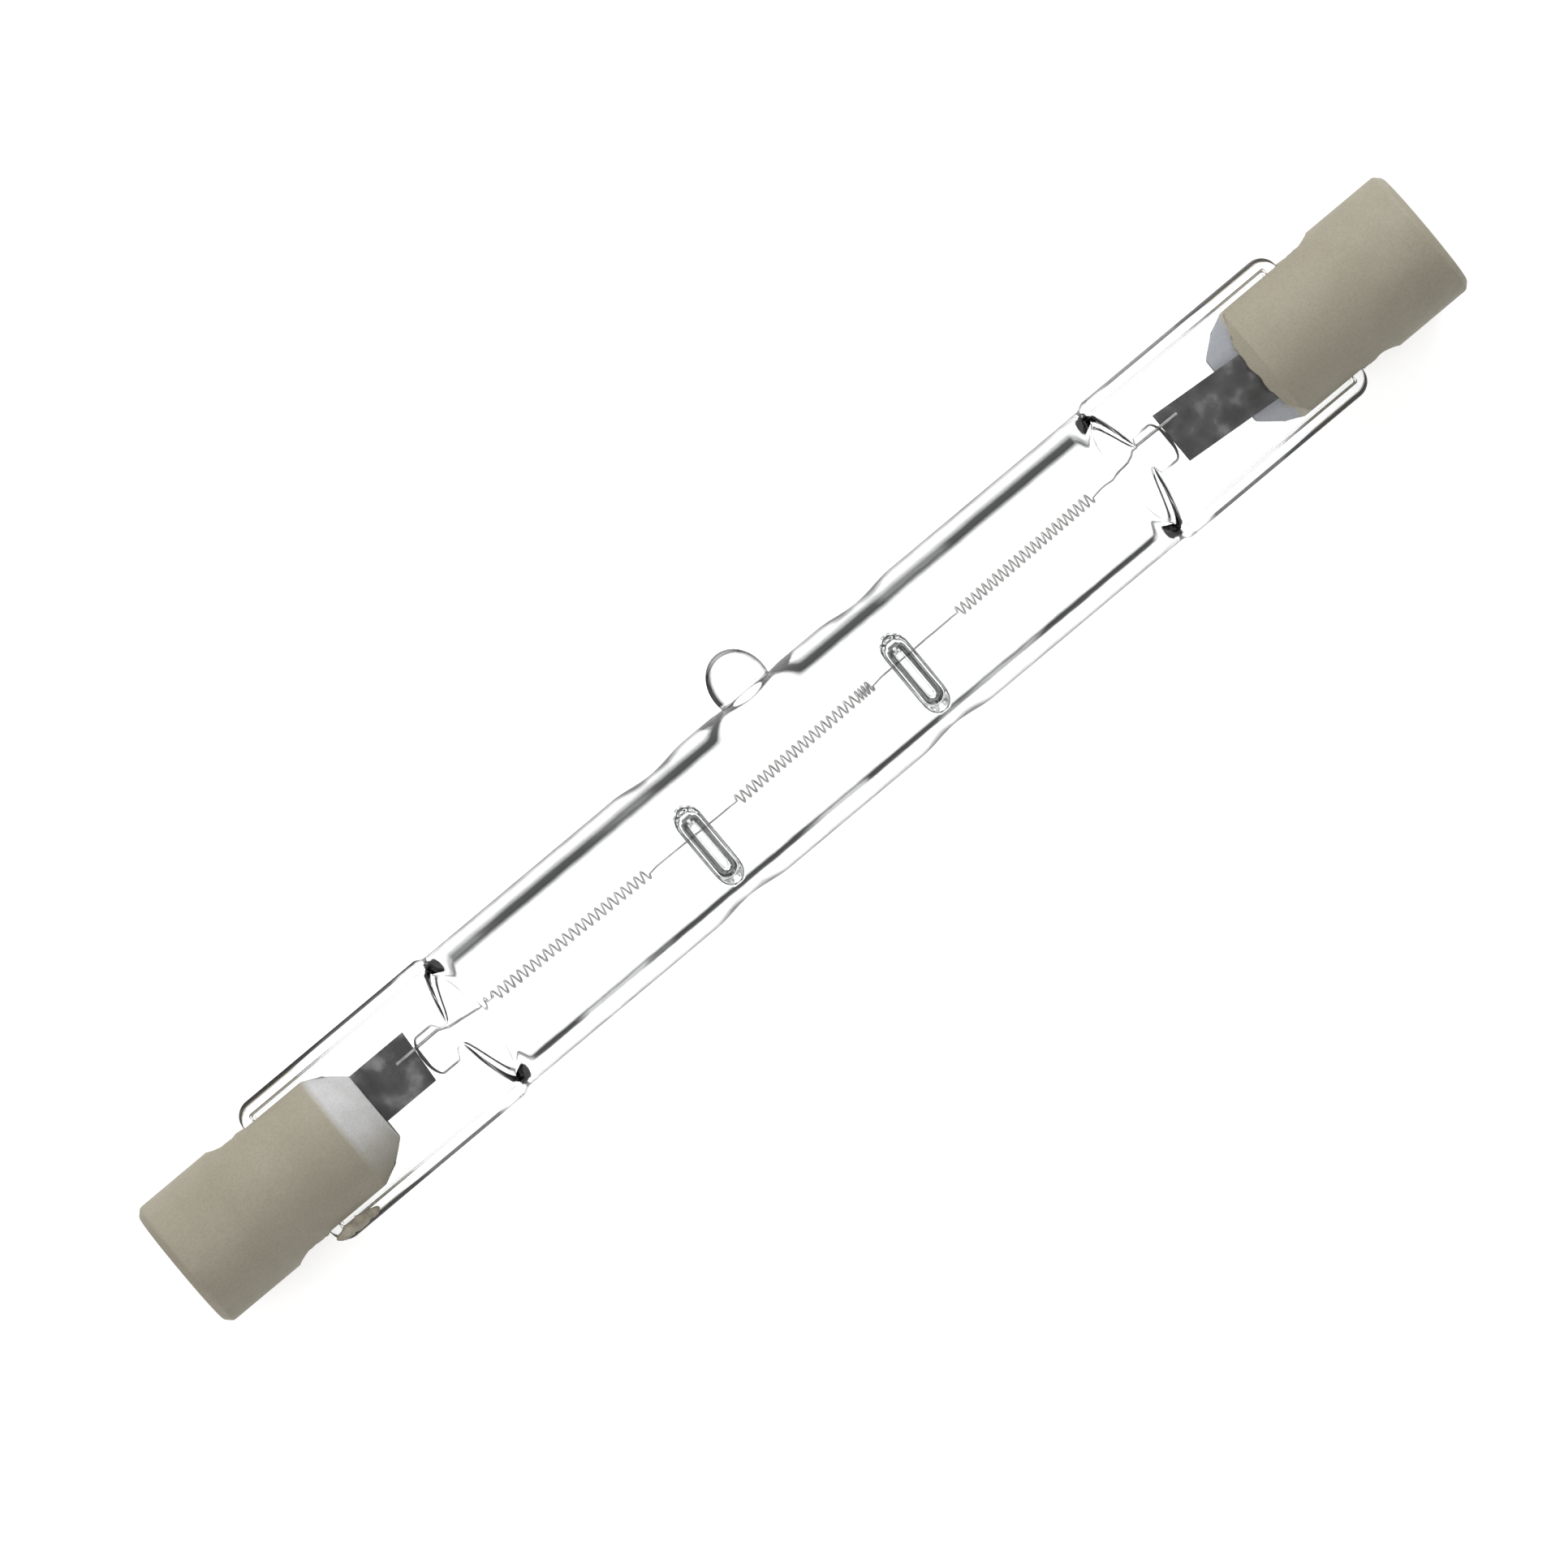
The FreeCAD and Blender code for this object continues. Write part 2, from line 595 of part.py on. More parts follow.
def slot_outline():
    """The slot between the prongs, with round corners at its bottom."""
    half = f"({SLOT_WIDTH} / 2)"
    flat = f"({half} - Sizes.slot_corner)"
    straight = "Sizes.slot_setback + Sizes.slot_corner"
    past = f"Sizes.cap_length + {OVERRUN}"
    return [
        (past, half),
        (straight, half, "Sizes.slot_corner", -1),
        ("Sizes.slot_setback", flat),
        ("Sizes.slot_setback", f"-{flat}", "Sizes.slot_corner", -1),
        (straight, f"-{half}"),
        (past, f"-{half}"),
    ]


def ceramic_cap(side):
    """Barrel with a stepped recess for the contact, slotted into two prongs with bevelled ends."""
    body = new_body("ceramic_cap", side)
    outer = "Sizes.cap_diameter / 2"
    recess = "Sizes.recess_diameter / 2"
    seat = "(Sizes.contact_diameter / 2 + Sizes.seat_clearance)"
    bore = "(Sizes.stem_diameter / 2 + Sizes.stem_clearance)"
    bore_end = "Sizes.slot_setback + Sizes.slot_corner"
    corners = [
        ("0", recess),
        ("0", f"{outer} - Sizes.cap_rim"),
        ("Sizes.cap_rim", outer),
        ("Sizes.cap_length - Sizes.nose_length", outer),
        ("Sizes.cap_length", "Sizes.nose_diameter / 2"),
        ("Sizes.cap_length", "0"),
        (bore_end, "0"),
        (bore_end, bore),
        (SEAT_FLOOR, bore),
        (SEAT_FLOOR, seat),
        (SEAT_EDGE, seat),
        (SEAT_EDGE, recess),
    ]
    turned(body, corners)
    pocketed(body, "XZ_Plane", slot_outline(), Midplane=True)
    if side == "right":
        chip(body)
    return body


def chip(body):
    """Takes the broken-off nose from the upper prong, along a ragged line."""
    line = []
    for share, jag in BREAK_LINE:
        edge = f"Sizes.cap_length - Sizes.chip_length + {jag} * Sizes.chip_jag"
        line.append((edge, f"{share} * Sizes.cap_diameter / 2"))
    past = f"Sizes.cap_length + {OVERRUN}"
    corners = [(past, line[0][1])] + line + [(past, line[-1][1])]
    corners = [(x, "0" if y.startswith("0.0 ") else y) for x, y in corners]
    pocketed(body, "XY_Plane", corners, Reversed=True)


def contact(side):
    """Raised button with a stem that the outer lead is welded to."""
    body = new_body("contact", side)
    head = "Sizes.contact_diameter / 2"
    stem = "Sizes.stem_diameter / 2"
    corners = [
        ("Sizes.contact_depth", "0"),
        ("Sizes.contact_depth", "Sizes.contact_flat / 2"),
        ("Sizes.contact_depth + Sizes.contact_crown", head),
        (SEAT_FLOOR, head),
        (SEAT_FLOOR, stem),
        (STEM_END, stem),
        (STEM_END, "0"),
    ]
    turned(body, corners)
    return body


def cap_cement(side, pinch, web):
    """Cement in the slot, around the end of the pinch and the outer lead."""
    depth = "Sizes.cement_depth"
    start = "Sizes.slot_setback"
    fill_x = place_x(side, start, depth)
    fill = block(f"cement_blank_{side}", depth, "Sizes.cap_diameter", SLOT_WIDTH, fill_x)
    bottom = start if side == "left" else from_right(start)
    fill = rounded(f"cement_fill_{side}", fill, Vector(0, 1, 0), bottom, "Sizes.slot_corner")
    inner = "(Sizes.cap_diameter - 2 * Sizes.cement_recess)"
    fill = common(f"cement_plug_{side}", fill, rod(f"cement_round_{side}", inner, depth, fill_x))
    wire = rod(f"cement_hole_{side}", "Sizes.lead_diameter", depth, fill_x)
    pressed = cut(f"pinch_end_{side}", pinch, web)
    return cut(f"cement_{side}", fill, fused(f"cement_room_{side}", pressed, wire))


def check_document():
    doc.recompute()
    for item in doc.Objects:
        if "Invalid" in item.State or "Error" in item.State:
            raise RuntimeError(f"{item.Name} failed: {item.State}")


def write_pieces(pieces):
    os.makedirs("parts", exist_ok=True)
    for piece in pieces:
        shape = piece.Shape
        if shape.isNull() or not shape.isValid() or not shape.Solids:
            raise RuntimeError(f"{piece.Label} has no valid solid")
        shape.exportStep(f"parts/{piece.Label}.step")
        print(piece.Label, len(shape.Solids), len(shape.Faces), round(shape.Volume, 4))


SETBACKS = {side: f"Sizes.{side}_foil_setback" for side in SIDES}
FOIL_ENDS = {side: f"({SETBACKS[side]} - Sizes.foil_length)" for side in SIDES}

fill_sheet()
foils = [seal_foil(side) for side in SIDES]
pinches = [pinch_blank(side) for side in SIDES]
webs = [web_tool(side) for side in SIDES]
pieces = [quartz_envelope(foils, pinches, webs), filament()]
for side, foil, pinch, web in zip(SIDES, foils, pinches, webs):
    pieces += [foil, outer_lead(side, foil), ceramic_cap(side), contact(side), cap_cement(side, pinch, web)]
check_document()
write_pieces(pieces)
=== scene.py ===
import math

import bpy
import numpy as np
from mathutils import Matrix, Vector, noise


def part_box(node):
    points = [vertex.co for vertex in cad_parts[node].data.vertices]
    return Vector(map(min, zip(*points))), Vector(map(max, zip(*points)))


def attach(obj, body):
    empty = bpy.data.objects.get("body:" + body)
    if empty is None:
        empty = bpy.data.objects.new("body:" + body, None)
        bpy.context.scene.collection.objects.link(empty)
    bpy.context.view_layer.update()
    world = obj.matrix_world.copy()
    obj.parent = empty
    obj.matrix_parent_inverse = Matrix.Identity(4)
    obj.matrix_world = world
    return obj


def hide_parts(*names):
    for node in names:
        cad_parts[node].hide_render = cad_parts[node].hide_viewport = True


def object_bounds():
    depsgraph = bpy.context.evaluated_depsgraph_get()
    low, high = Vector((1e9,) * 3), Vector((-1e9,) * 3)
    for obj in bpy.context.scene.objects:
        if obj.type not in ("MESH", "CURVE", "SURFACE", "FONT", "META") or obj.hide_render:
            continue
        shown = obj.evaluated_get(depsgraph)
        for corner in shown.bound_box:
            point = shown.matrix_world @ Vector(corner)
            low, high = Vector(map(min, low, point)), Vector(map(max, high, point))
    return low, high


# Linear halogen bulb. Shapes are worked out in millimetres, in the frame of the CAD model:
# X along the lamp, +Y towards the exhaust tip, +Z up. make_mesh() turns them into metres.

MM = 0.001
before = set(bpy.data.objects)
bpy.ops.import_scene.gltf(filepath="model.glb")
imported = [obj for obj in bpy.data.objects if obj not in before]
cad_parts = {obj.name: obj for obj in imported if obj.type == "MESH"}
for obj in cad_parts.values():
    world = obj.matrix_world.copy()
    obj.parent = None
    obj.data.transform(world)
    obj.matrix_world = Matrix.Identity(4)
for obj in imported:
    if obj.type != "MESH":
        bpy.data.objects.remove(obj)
cad_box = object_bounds()


def corner_mm(solid, which):
    """Lowest (0) or highest (1) corner of one solid's box."""
    return np.array(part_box(solid)[which]) / MM


GLASS_LOW = corner_mm("quartz_envelope", 0)
GLASS_HIGH = corner_mm("quartz_envelope", 1)
LAMP_LENGTH = corner_mm("ceramic_cap_right", 1)[0]
MIDDLE = LAMP_LENGTH / 2
SIDES = ("left", "right")

# Quartz envelope

TUBE_RADIUS = -GLASS_LOW[2]
TUBE_WALL = 0.95
PINCH_START = GLASS_LOW[0]
PINCH_HALF_WIDTH = -GLASS_LOW[1]
PINCH_HALF_HEIGHT = 1.3
PINCH_CORNER = 0.9
PINCH_RUN_OUT = (18.1, 18.6)
RAIL_WIDTH = 0.62
RAIL_EDGE = 0.12
WEB_DEPTH = 0.3
WEB_FADE = (-0.1, 0.8)
FLAT_END_MIDDLE = 17.35
FLAT_END_SIDE = 18.5
SHOULDER_LENGTH = 3.0
FOLD_SOFTNESS = 0.4
SUPPORTS = (MIDDLE - 6.47, MIDDLE + 6.47)
WAIST_DEPTH = 0.22
WAIST_HALF_LENGTH = 2.3
DIMPLE_SHIFT = -0.65
DIMPLE_REACH = 1.3
DIMPLE_RADIUS = 0.2
DIMPLE_FLARE = 0.34
DIMPLE_FLOOR = 0.86
BULGE_GROWTH = 0.16
BULGE_FLOOR = 0.16
TIP_X = 38.8
TIP_TOP = GLASS_HIGH[1]
TIP_RADIUS = 1.5
TIP_HEIGHT = 1.8
TIP_NECK = 1.45
TIP_FOOT = 2.25
TIP_BEAD_SHARE = 0.55

# The hollow in the glass: the pocket beside each foil, the throat, and the funnel under the exhaust tip

POCKET_LENGTH = 1.4
POCKET_END = 1.75
POCKET_CENTRE = 0.2
POCKET_HALF_WIDTH = 1.15
POCKET_CORNER = 0.5
POCKET_BLUNT = 0.01
THROAT_START = 17.55
THROAT_CENTRE = 0.26
THROAT_HALF_WIDTH = 0.7
CAVITY_END = 18.85
FUNNEL_RADIUS = 3.0
FUNNEL_FLAT = 0.25
FUNNEL_TOP = 3.95

# Cross-sections of the glass: each stretch is where it ends and how far apart they stand

OUTSIDE_STRETCHES = (
    (7.0, 0.05),
    (7.6, 0.1),
    (17.0, 0.55),
    (21.0, 0.1),
    (30.4, 0.7),
    (31.8, 0.2),
    (33.6, 0.055),
    (36.5, 0.25),
)
TIP_STRETCH = (TIP_X + 2.4, 0.09)
STEP_BEYOND_TIP = 0.3
HOLLOW_STRETCHES = (
    (THROAT_START, 0.12),
    (20.2, 0.07),
    (30.4, 0.8),
    (31.8, 0.2),
    (33.6, 0.055),
    (37.8, 0.2),
    (MIDDLE, 0.08),
)
OUTSIDE_POINTS = 196
HOLLOW_POINTS = 112

# Distances from the lamp's ends between which one pattern of painted dark lines on the glass gives way
# to the next

TUBE_TO_RAILS = (17.2, 16.6)
TUBE_BACK_LINE_END = (20.6, 19.4)
HOLLOW_LINE_END = (19.7, 19.3)
SHOULDER_LINE_START = (18.8, 18.4)
THROAT_TO_POCKET = (17.0, 16.6)

# Filament: each coil has one or two runs, and each run is where it starts, its turns and their pitch

WIRE_RADIUS = 0.053
COIL_RADIUS = 0.285
COIL_LEAD_IN = 0.5
COILS = (
    ((20.0, 24, 0.4),),
    ((35.1, 21, 0.365), (42.77, 4, 0.2)),
    ((49.1, 25, 0.343),),
)
TURN_STEPS = 20

# Places (x, y) on the coils' slightly bent axis, and on the wire's two legs

COIL_AXIS = ((20.0, 0.40), (29.6, 0.20), (35.1, 0.11), (43.5, 0.25), (49.1, 0.27), (57.7, 0.39))
LEFT_LEG = ((14.3, 0.90), (15.6, 0.91), (16.9, 0.92), (17.5, 0.68), (18.5, 0.54))
RIGHT_LEG = ((59.9, 0.52), (60.3, 0.80), (60.9, 0.89), (62.1, 0.88), (63.4, 0.86))
THIN_WIRE = (17.5, 60.5)
LEG_THICKNESS = 1.65
SUNK_WIRE = (17.0, 61.0)
WELD_LEVEL = -0.06

# Foils

FOIL_SKEW = 0.08
FOIL_FULLNESS = 0.7
LONG_RIPPLE = 0.012
CROSS_RIPPLE = 0.008
FOIL_POINTS = (60, 48)

# Ceramic caps and contacts

CAP_RADIUS = corner_mm("ceramic_cap_left", 1)[2]
CAP_LENGTH = corner_mm("ceramic_cap_left", 1)[0]
CAP_RIM = 0.35
NOSE_LENGTH = 2.0
NOSE_RADIUS = 2.4
NOSE_BULGE = 0.12
SLOT_START = 4.6
SLOT_HALF = 1.4
SLOT_CORNER = 1.2
SLOT_CORNER_STEPS = 9
RECESS_RADIUS = 1.7
SEAT_RADIUS = 1.5
SEAT_EDGE = 1.65
SEAT_FLOOR = 2.2
CAP_EDGE = 0.1
ROUND_STEPS = 144
TOOL_OVERRUN = 1
CONTACT_CROWN = 0.2
CONTACT_FLAT = 0.94
CONTACT_EDGE = 0.09
CONTACT_HEAD = 0.5
CONTACT_CHAMFER = 0.05
STEM_RADIUS = 0.55
CROWN_STEPS = 12
EDGE_STEPS = 6

# The broken edge of the right cap's upper prong, as (y, x)

BREAK_LINE = (
    (-3.6, 10.0),
    (-3.0, 10.16),
    (-2.4, 10.7),
    (-1.3, 10.84),
    (0.15, 10.86),
    (1.5, 10.94),
    (3.1, 10.27),
    (3.6, 10.0),
)
BREAK_FLOOR = 0.9
BREAK_LEAN = 0.1
BREAK_ROUGHNESS = 0.14
BREAK_NOISE_SCALE = 1.6
BREAK_POINTS = (60, 24)

# Cement, with the smear that was pressed out over the left pinch's lower rail

CEMENT_GRAIN = 0.1
CEMENT_ROUGHNESS = 0.06
CEMENT_NOISE_SCALE = 1500
MEAN_NOISE = 0.4
SMEAR_ENDS = (6.7, 9.3)
SMEAR_HALF_LENGTH = 1.31
SMEAR_SIDE = -3.8
SMEAR_SLOPE = 0.03
SMEAR_HALF_WIDTH = 0.3
SMEAR_LEVEL = 1.3
SMEAR_HALF_HEIGHT = 0.22
SMEAR_FLOOR = 1.2
SMEAR_ROUGHNESS = 0.35
SMEAR_NOISE_SCALE = 2.5
SMEAR_POINTS = (48, 32)

# Camera and light

PHOTO_WIDTH = 1927
PHOTO_HEIGHT = 1932
MM_PER_PIXEL = 0.03921
LAMP_TURN = math.radians(39.905)
LAMP_CENTRE_PIXEL = (989.5, 922.7)
CAMERA_HEIGHT = 0.9
WORLD_LIGHT = 0.35
FLOOR_HALF_SIZE = 0.45
FLOOR_GLOW = 0.6
FLOOR_GLOW_THROUGH_GLASS = 0.35


# Shape helpers


def ease(value, start, end):
    """0 before start, 1 after end, and smooth between."""
    share = np.clip((value - start) / (end - start), 0, 1)
    return share * share * (3 - 2 * share)


def eased_steps(value, stops):
    """Smooth steps from one (place, size) to the next."""
    result = np.full_like(value, stops[0][1], dtype=float)
    for (start, before), (end, after) in zip(stops, stops[1:]):
        result += (after - before) * ease(value, start, end)
    return result


def soft_min(a, b, softness):
    """The smaller of two sizes, rounded off where they are nearly the same."""
    overlap = np.clip(softness - np.abs(a - b), 0, None) / softness
    return np.minimum(a, b) - overlap**2 * softness / 4


def stations(start, *stretches):
    """Places along the lamp: each stretch is where it ends and its step."""
    places = [start]
    for end, step in stretches:
        count = max(1, round((end - places[-1]) / step))
        places += list(np.linspace(places[-1], end, count + 1)[1:])
    return np.array(places)


def full_turn(count):
    return np.linspace(0, 2 * math.pi, count, endpoint=False)


def around(count):
    """Angles from +Y, closer together at the two sides than at top and bottom."""
    turn = full_turn(count)
    return turn - np.sin(2 * turn) / 4


def skin(rings, inward=False):
    """Points and faces of closed rings joined one to the next, with both ends closed."""
    count, steps = rings.shape[:2]
    faces = []
    for ring in range(count - 1):
        here = ring * steps
        beyond = here + steps
        for step in range(steps):
            after = (step + 1) % steps
            faces.append((here + step, here + after, beyond + after, beyond + step))
    faces.append(tuple(range(steps))[::-1])
    faces.append(tuple(range((count - 1) * steps, count * steps)))
    if inward:
        faces = [face[::-1] for face in faces]
    return rings.reshape(-1, 3), faces


def make_mesh(name, *skins):
    """One object from one or more skins, in metres."""
    points = []
    faces = []
    for more_points, more_faces in skins:
        faces += [tuple(corner + len(points) for corner in face) for face in more_faces]
        points += [tuple(point) for point in more_points * MM]
    mesh = bpy.data.meshes.new(name)
    mesh.from_pydata(points, [], faces)
    mesh.shade_smooth()
    piece = bpy.data.objects.new(name, mesh)
    bpy.context.scene.collection.objects.link(piece)
    return piece


def lathed(profile):
    """Rings about the X axis, from a profile of (x, radius)."""
    circle = [(math.cos(turn), math.sin(turn)) for turn in full_turn(ROUND_STEPS)]
    return np.array([[(x, radius * y, radius * z) for y, z in circle] for x, radius in profile])


def roughness(point, smoothness=0.8):
    """Fractal noise at a point, of four octaves, each half the size of the last."""
    return noise.fractal(point, smoothness, 2.0, 4)


def settle(piece):
    """Makes what a piece's modifiers do part of its mesh."""
    graph = bpy.context.evaluated_depsgraph_get()
    piece.data = bpy.data.meshes.new_from_object(piece.evaluated_get(graph))
    piece.modifiers.clear()


def carve(piece, tool):
    """Cuts the tool's shape out of a piece, and removes the tool."""
    cutter = piece.modifiers.new("cut", "BOOLEAN")
    cutter.operation = "DIFFERENCE"
    cutter.solver = "EXACT"
    cutter.object = tool
    settle(piece)
    bpy.data.objects.remove(tool)


def placed(piece, slot, material, *nodes):
    """Gives a piece its material and its place in the frame."""
    piece.data.materials.clear()
    piece.data.materials.append(material)
    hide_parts(*nodes)
    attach(piece, "root")


# Quartz envelope


def support_pit(x, y, growth):
    """How far a point is pressed towards the wire at the supports, from 0 to 1."""
    depth = np.zeros_like(x)
    for support in SUPPORTS:
        off_line = (y - DIMPLE_SHIFT) - np.clip(y - DIMPLE_SHIFT, -DIMPLE_REACH, DIMPLE_REACH)
        distance = np.hypot(x - support, off_line) - DIMPLE_RADIUS - growth
        depth = np.maximum(depth, 1 - ease(distance, 0, DIMPLE_FLARE))
    return depth


def pressed(height, depth, floor):
    """Heights with the pits pressed into them."""
    return np.where(height > floor, height + (floor - height) * depth, height)


def tube_radius(x):
    """Radius of the tube, which has a waist at each support."""
    radius = np.full_like(x, TUBE_RADIUS)
    for support in SUPPORTS:
        away = np.clip(np.abs(x - support) / WAIST_HALF_LENGTH, 0, 1)
        radius -= WAIST_DEPTH * (1 + np.cos(math.pi * away)) / 2
    return radius


def exhaust_tip(x, y, z):
    """Draws the skin around the tip's foot up into a domed tip."""
    away = np.hypot(x - TIP_X, z)
    inside = (away < TIP_FOOT) & (y > 0)
    share = np.where(inside, away / TIP_FOOT, 1)
    direction_x = np.where(away > 0, (x - TIP_X) / np.maximum(away, 1e-9), 0)
    direction_z = np.where(away > 0, z / np.maximum(away, 1e-9), 0)
    bead_centre = TIP_TOP - TIP_HEIGHT
    neck_angle = math.pi - math.asin(TIP_NECK / TIP_RADIUS)
    angle = neck_angle * np.clip(share / TIP_BEAD_SHARE, 0, 1)
    flare = np.clip((share - TIP_BEAD_SHARE) / (1 - TIP_BEAD_SHARE), 0, 1)
    on_bead = share < TIP_BEAD_SHARE
    foot_radius = TIP_NECK + (TIP_FOOT - TIP_NECK) * flare**1.5
    radius = np.where(on_bead, TIP_RADIUS * np.sin(angle), foot_radius)
    neck_height = bead_centre + TIP_HEIGHT * math.cos(neck_angle)
    settled = np.sqrt(TUBE_RADIUS**2 - (radius * direction_z) ** 2)
    flared = neck_height + (settled - neck_height) * ease(flare, 0, 1)
    height = np.where(on_bead, bead_centre + TIP_HEIGHT * np.cos(angle), flared)
    return (
        np.where(inside, TIP_X + radius * direction_x, x),
        np.where(inside, height, y),
        np.where(inside, radius * direction_z, z),
    )


def shoulder_roof(along, y):
    """Height of the glass over the pinch and the shoulder, and where the pinch's flat ends."""
    flat_end = FLAT_END_MIDDLE + (FLAT_END_SIDE - FLAT_END_MIDDLE) * (y / PINCH_HALF_WIDTH) ** 2
    rise = TUBE_RADIUS + FOLD_SOFTNESS - PINCH_HALF_HEIGHT
    return PINCH_HALF_HEIGHT + rise * ease(along, flat_end, flat_end + SHOULDER_LENGTH), flat_end


def glass_outside():
    """The envelope's outer skin: flat pinches with rails, round tube, pits, waists and exhaust tip."""
    half = stations(PINCH_START, *OUTSIDE_STRETCHES)
    middle = stations(half[-1], TIP_STRETCH, (LAMP_LENGTH - half[-1], STEP_BEYOND_TIP))
    x = np.concatenate([half, middle[1:-1], (LAMP_LENGTH - half)[::-1]])
    x, turn = np.meshgrid(x, around(OUTSIDE_POINTS), indexing="ij")
    along = np.minimum(x, LAMP_LENGTH - x)
    radius = tube_radius(x)
    corner = np.clip(PINCH_START + PINCH_CORNER - along, 0, PINCH_CORNER)
    pinch = PINCH_HALF_WIDTH - PINCH_CORNER + np.sqrt(PINCH_CORNER**2 - corner**2)
    width = pinch + (radius - pinch) * ease(along, *PINCH_RUN_OUT)
    y = width * np.cos(turn)
    roof, flat_end = shoulder_roof(along, y)
    web_side = PINCH_HALF_WIDTH - RAIL_WIDTH
    web = 1 - ease(np.abs(y), web_side - RAIL_EDGE, web_side)
    web *= ease(along, PINCH_START + RAIL_WIDTH, PINCH_START + RAIL_WIDTH + RAIL_EDGE)
    web *= 1 - ease(along, flat_end + WEB_FADE[0], flat_end + WEB_FADE[1])
    height = soft_min(width * np.abs(np.sin(turn)), roof - WEB_DEPTH * web, FOLD_SOFTNESS)
    height = pressed(height, support_pit(x, y, 0), DIMPLE_FLOOR)
    z = height * np.sign(np.sin(turn))
    return skin(np.stack(exhaust_tip(x, y, z), axis=-1))


def cavity_half(foil_end):
    """The hollow from beside the foil to the lamp's middle: places, centre, half width and rounding."""
    hollow = (
        (foil_end, POCKET_CENTRE, POCKET_HALF_WIDTH),
        (foil_end + POCKET_LENGTH, POCKET_CENTRE, POCKET_HALF_WIDTH),
        (foil_end + POCKET_END, THROAT_CENTRE, THROAT_HALF_WIDTH),
        (THROAT_START, THROAT_CENTRE, THROAT_HALF_WIDTH),
        (CAVITY_END, 0.0, TUBE_RADIUS - TUBE_WALL),
    )
    pocket_stretches = ((foil_end + POCKET_CORNER, 0.05), (foil_end + 1.3, 0.3))
    along = stations(foil_end, *pocket_stretches, *HOLLOW_STRETCHES)
    from_end = np.clip((along - foil_end + POCKET_BLUNT) / POCKET_CORNER, 0, 1)
    rounding = np.sqrt(1 - (1 - from_end) ** 2)
    centre = eased_steps(along, [(start, middle) for start, middle, _ in hollow])
    width = eased_steps(along, [(start, half) for start, _, half in hollow])
    return along, centre, width * rounding, rounding


def glass_inside():
    """The envelope's inner skin, which is one hollow from foil to foil."""
    left = cavity_half(corner_mm("foil_left", 1)[0])
    right = cavity_half(LAMP_LENGTH - corner_mm("foil_right", 0)[0])
    right = (LAMP_LENGTH - right[0],) + right[1:]
    x, centre, width, rounding = (np.concatenate([a, b[::-1][1:]]) for a, b in zip(left, right))
    x, turn = np.meshgrid(x, around(HOLLOW_POINTS), indexing="ij")
    centre, width, rounding = (size[:, None] for size in (centre, width, rounding))
    y = centre + width * np.cos(turn)
    roof, _ = shoulder_roof(np.minimum(x, LAMP_LENGTH - x), y)
    roof = (roof - TUBE_WALL) * rounding
    softness = np.minimum(FOLD_SOFTNESS, roof / 2)
    height = soft_min(width * np.abs(np.sin(turn)), roof, softness)
    height = pressed(height, support_pit(x, y, BULGE_GROWTH), BULGE_FLOOR)
    z = height * np.sign(np.sin(turn))
    away = np.clip(np.hypot(x - TIP_X, z) / FUNNEL_RADIUS, 0, 1)
    rise = (FUNNEL_TOP - TUBE_RADIUS + TUBE_WALL) * ease(away, 1.0, FUNNEL_FLAT)
    y = np.where(y > 0, y + rise, y)
    return skin(np.stack([x, y, z], axis=-1), inward=True)


def quartz_glass():
    """Both skins as one piece, each with its own finish."""
    outside = glass_outside()
    glass = make_mesh("quartz_glass", outside, glass_inside())
    placed(glass, "quartz", clear_quartz("quartz_outside", painted_outer_lines), "quartz_envelope")
    glass.data.materials.append(clear_quartz("quartz_hollow", painted_hollow_lines))
    for face in glass.data.polygons[len(outside[1]):]:
        face.material_index = 1


# Filament and foils


def coil_centre(x):
    places, heights = zip(*COIL_AXIS)
    return np.interp(x, places, heights)


def coil_points(runs):
    """Points along one coil."""
    points = []
    turned = 0.0
    for start, turns, pitch in runs:
        for step in range(round(turns * TURN_STEPS)):
            x = start + pitch * step / TURN_STEPS
            angle = 2 * math.pi * (turned + step / TURN_STEPS)
            y = coil_centre(x) + COIL_RADIUS * math.sin(angle)
            points.append((x, y, COIL_RADIUS * math.cos(angle)))
        turned += turns
    return points


def leg_level(x):
    """The wire lies lower where it runs onto a foil."""
    return 0.0 if SUNK_WIRE[0] <= x <= SUNK_WIRE[1] else WELD_LEVEL


def filament():
    """One round wire through the three coils, as a bevelled curve."""
    points = [(x, y, leg_level(x)) for x, y in LEFT_LEG]
    for runs in COILS:
        coil = coil_points(runs)
        before = coil[0][0] - COIL_LEAD_IN
        after = coil[-1][0] + COIL_LEAD_IN
        points.append((before, coil_centre(before), 0.0))
        points += coil
        points.append((after, coil_centre(after), 0.0))
    points += [(x, y, leg_level(x)) for x, y in RIGHT_LEG]
    curve = bpy.data.curves.new("filament_wire", "CURVE")
    curve.dimensions = "3D"
    curve.bevel_depth = WIRE_RADIUS * MM
    curve.bevel_resolution = 2
    curve.use_fill_caps = True
    spline = curve.splines.new("POLY")
    spline.points.add(len(points) - 1)
    for point, (x, y, z) in zip(spline.points, points):
        point.co = (x * MM, y * MM, z * MM, 1)
        point.radius = 1.0 if THIN_WIRE[0] < x < THIN_WIRE[1] else LEG_THICKNESS
    wire = bpy.data.objects.new("filament_wire", curve)
    bpy.context.scene.collection.objects.link(wire)
    return wire


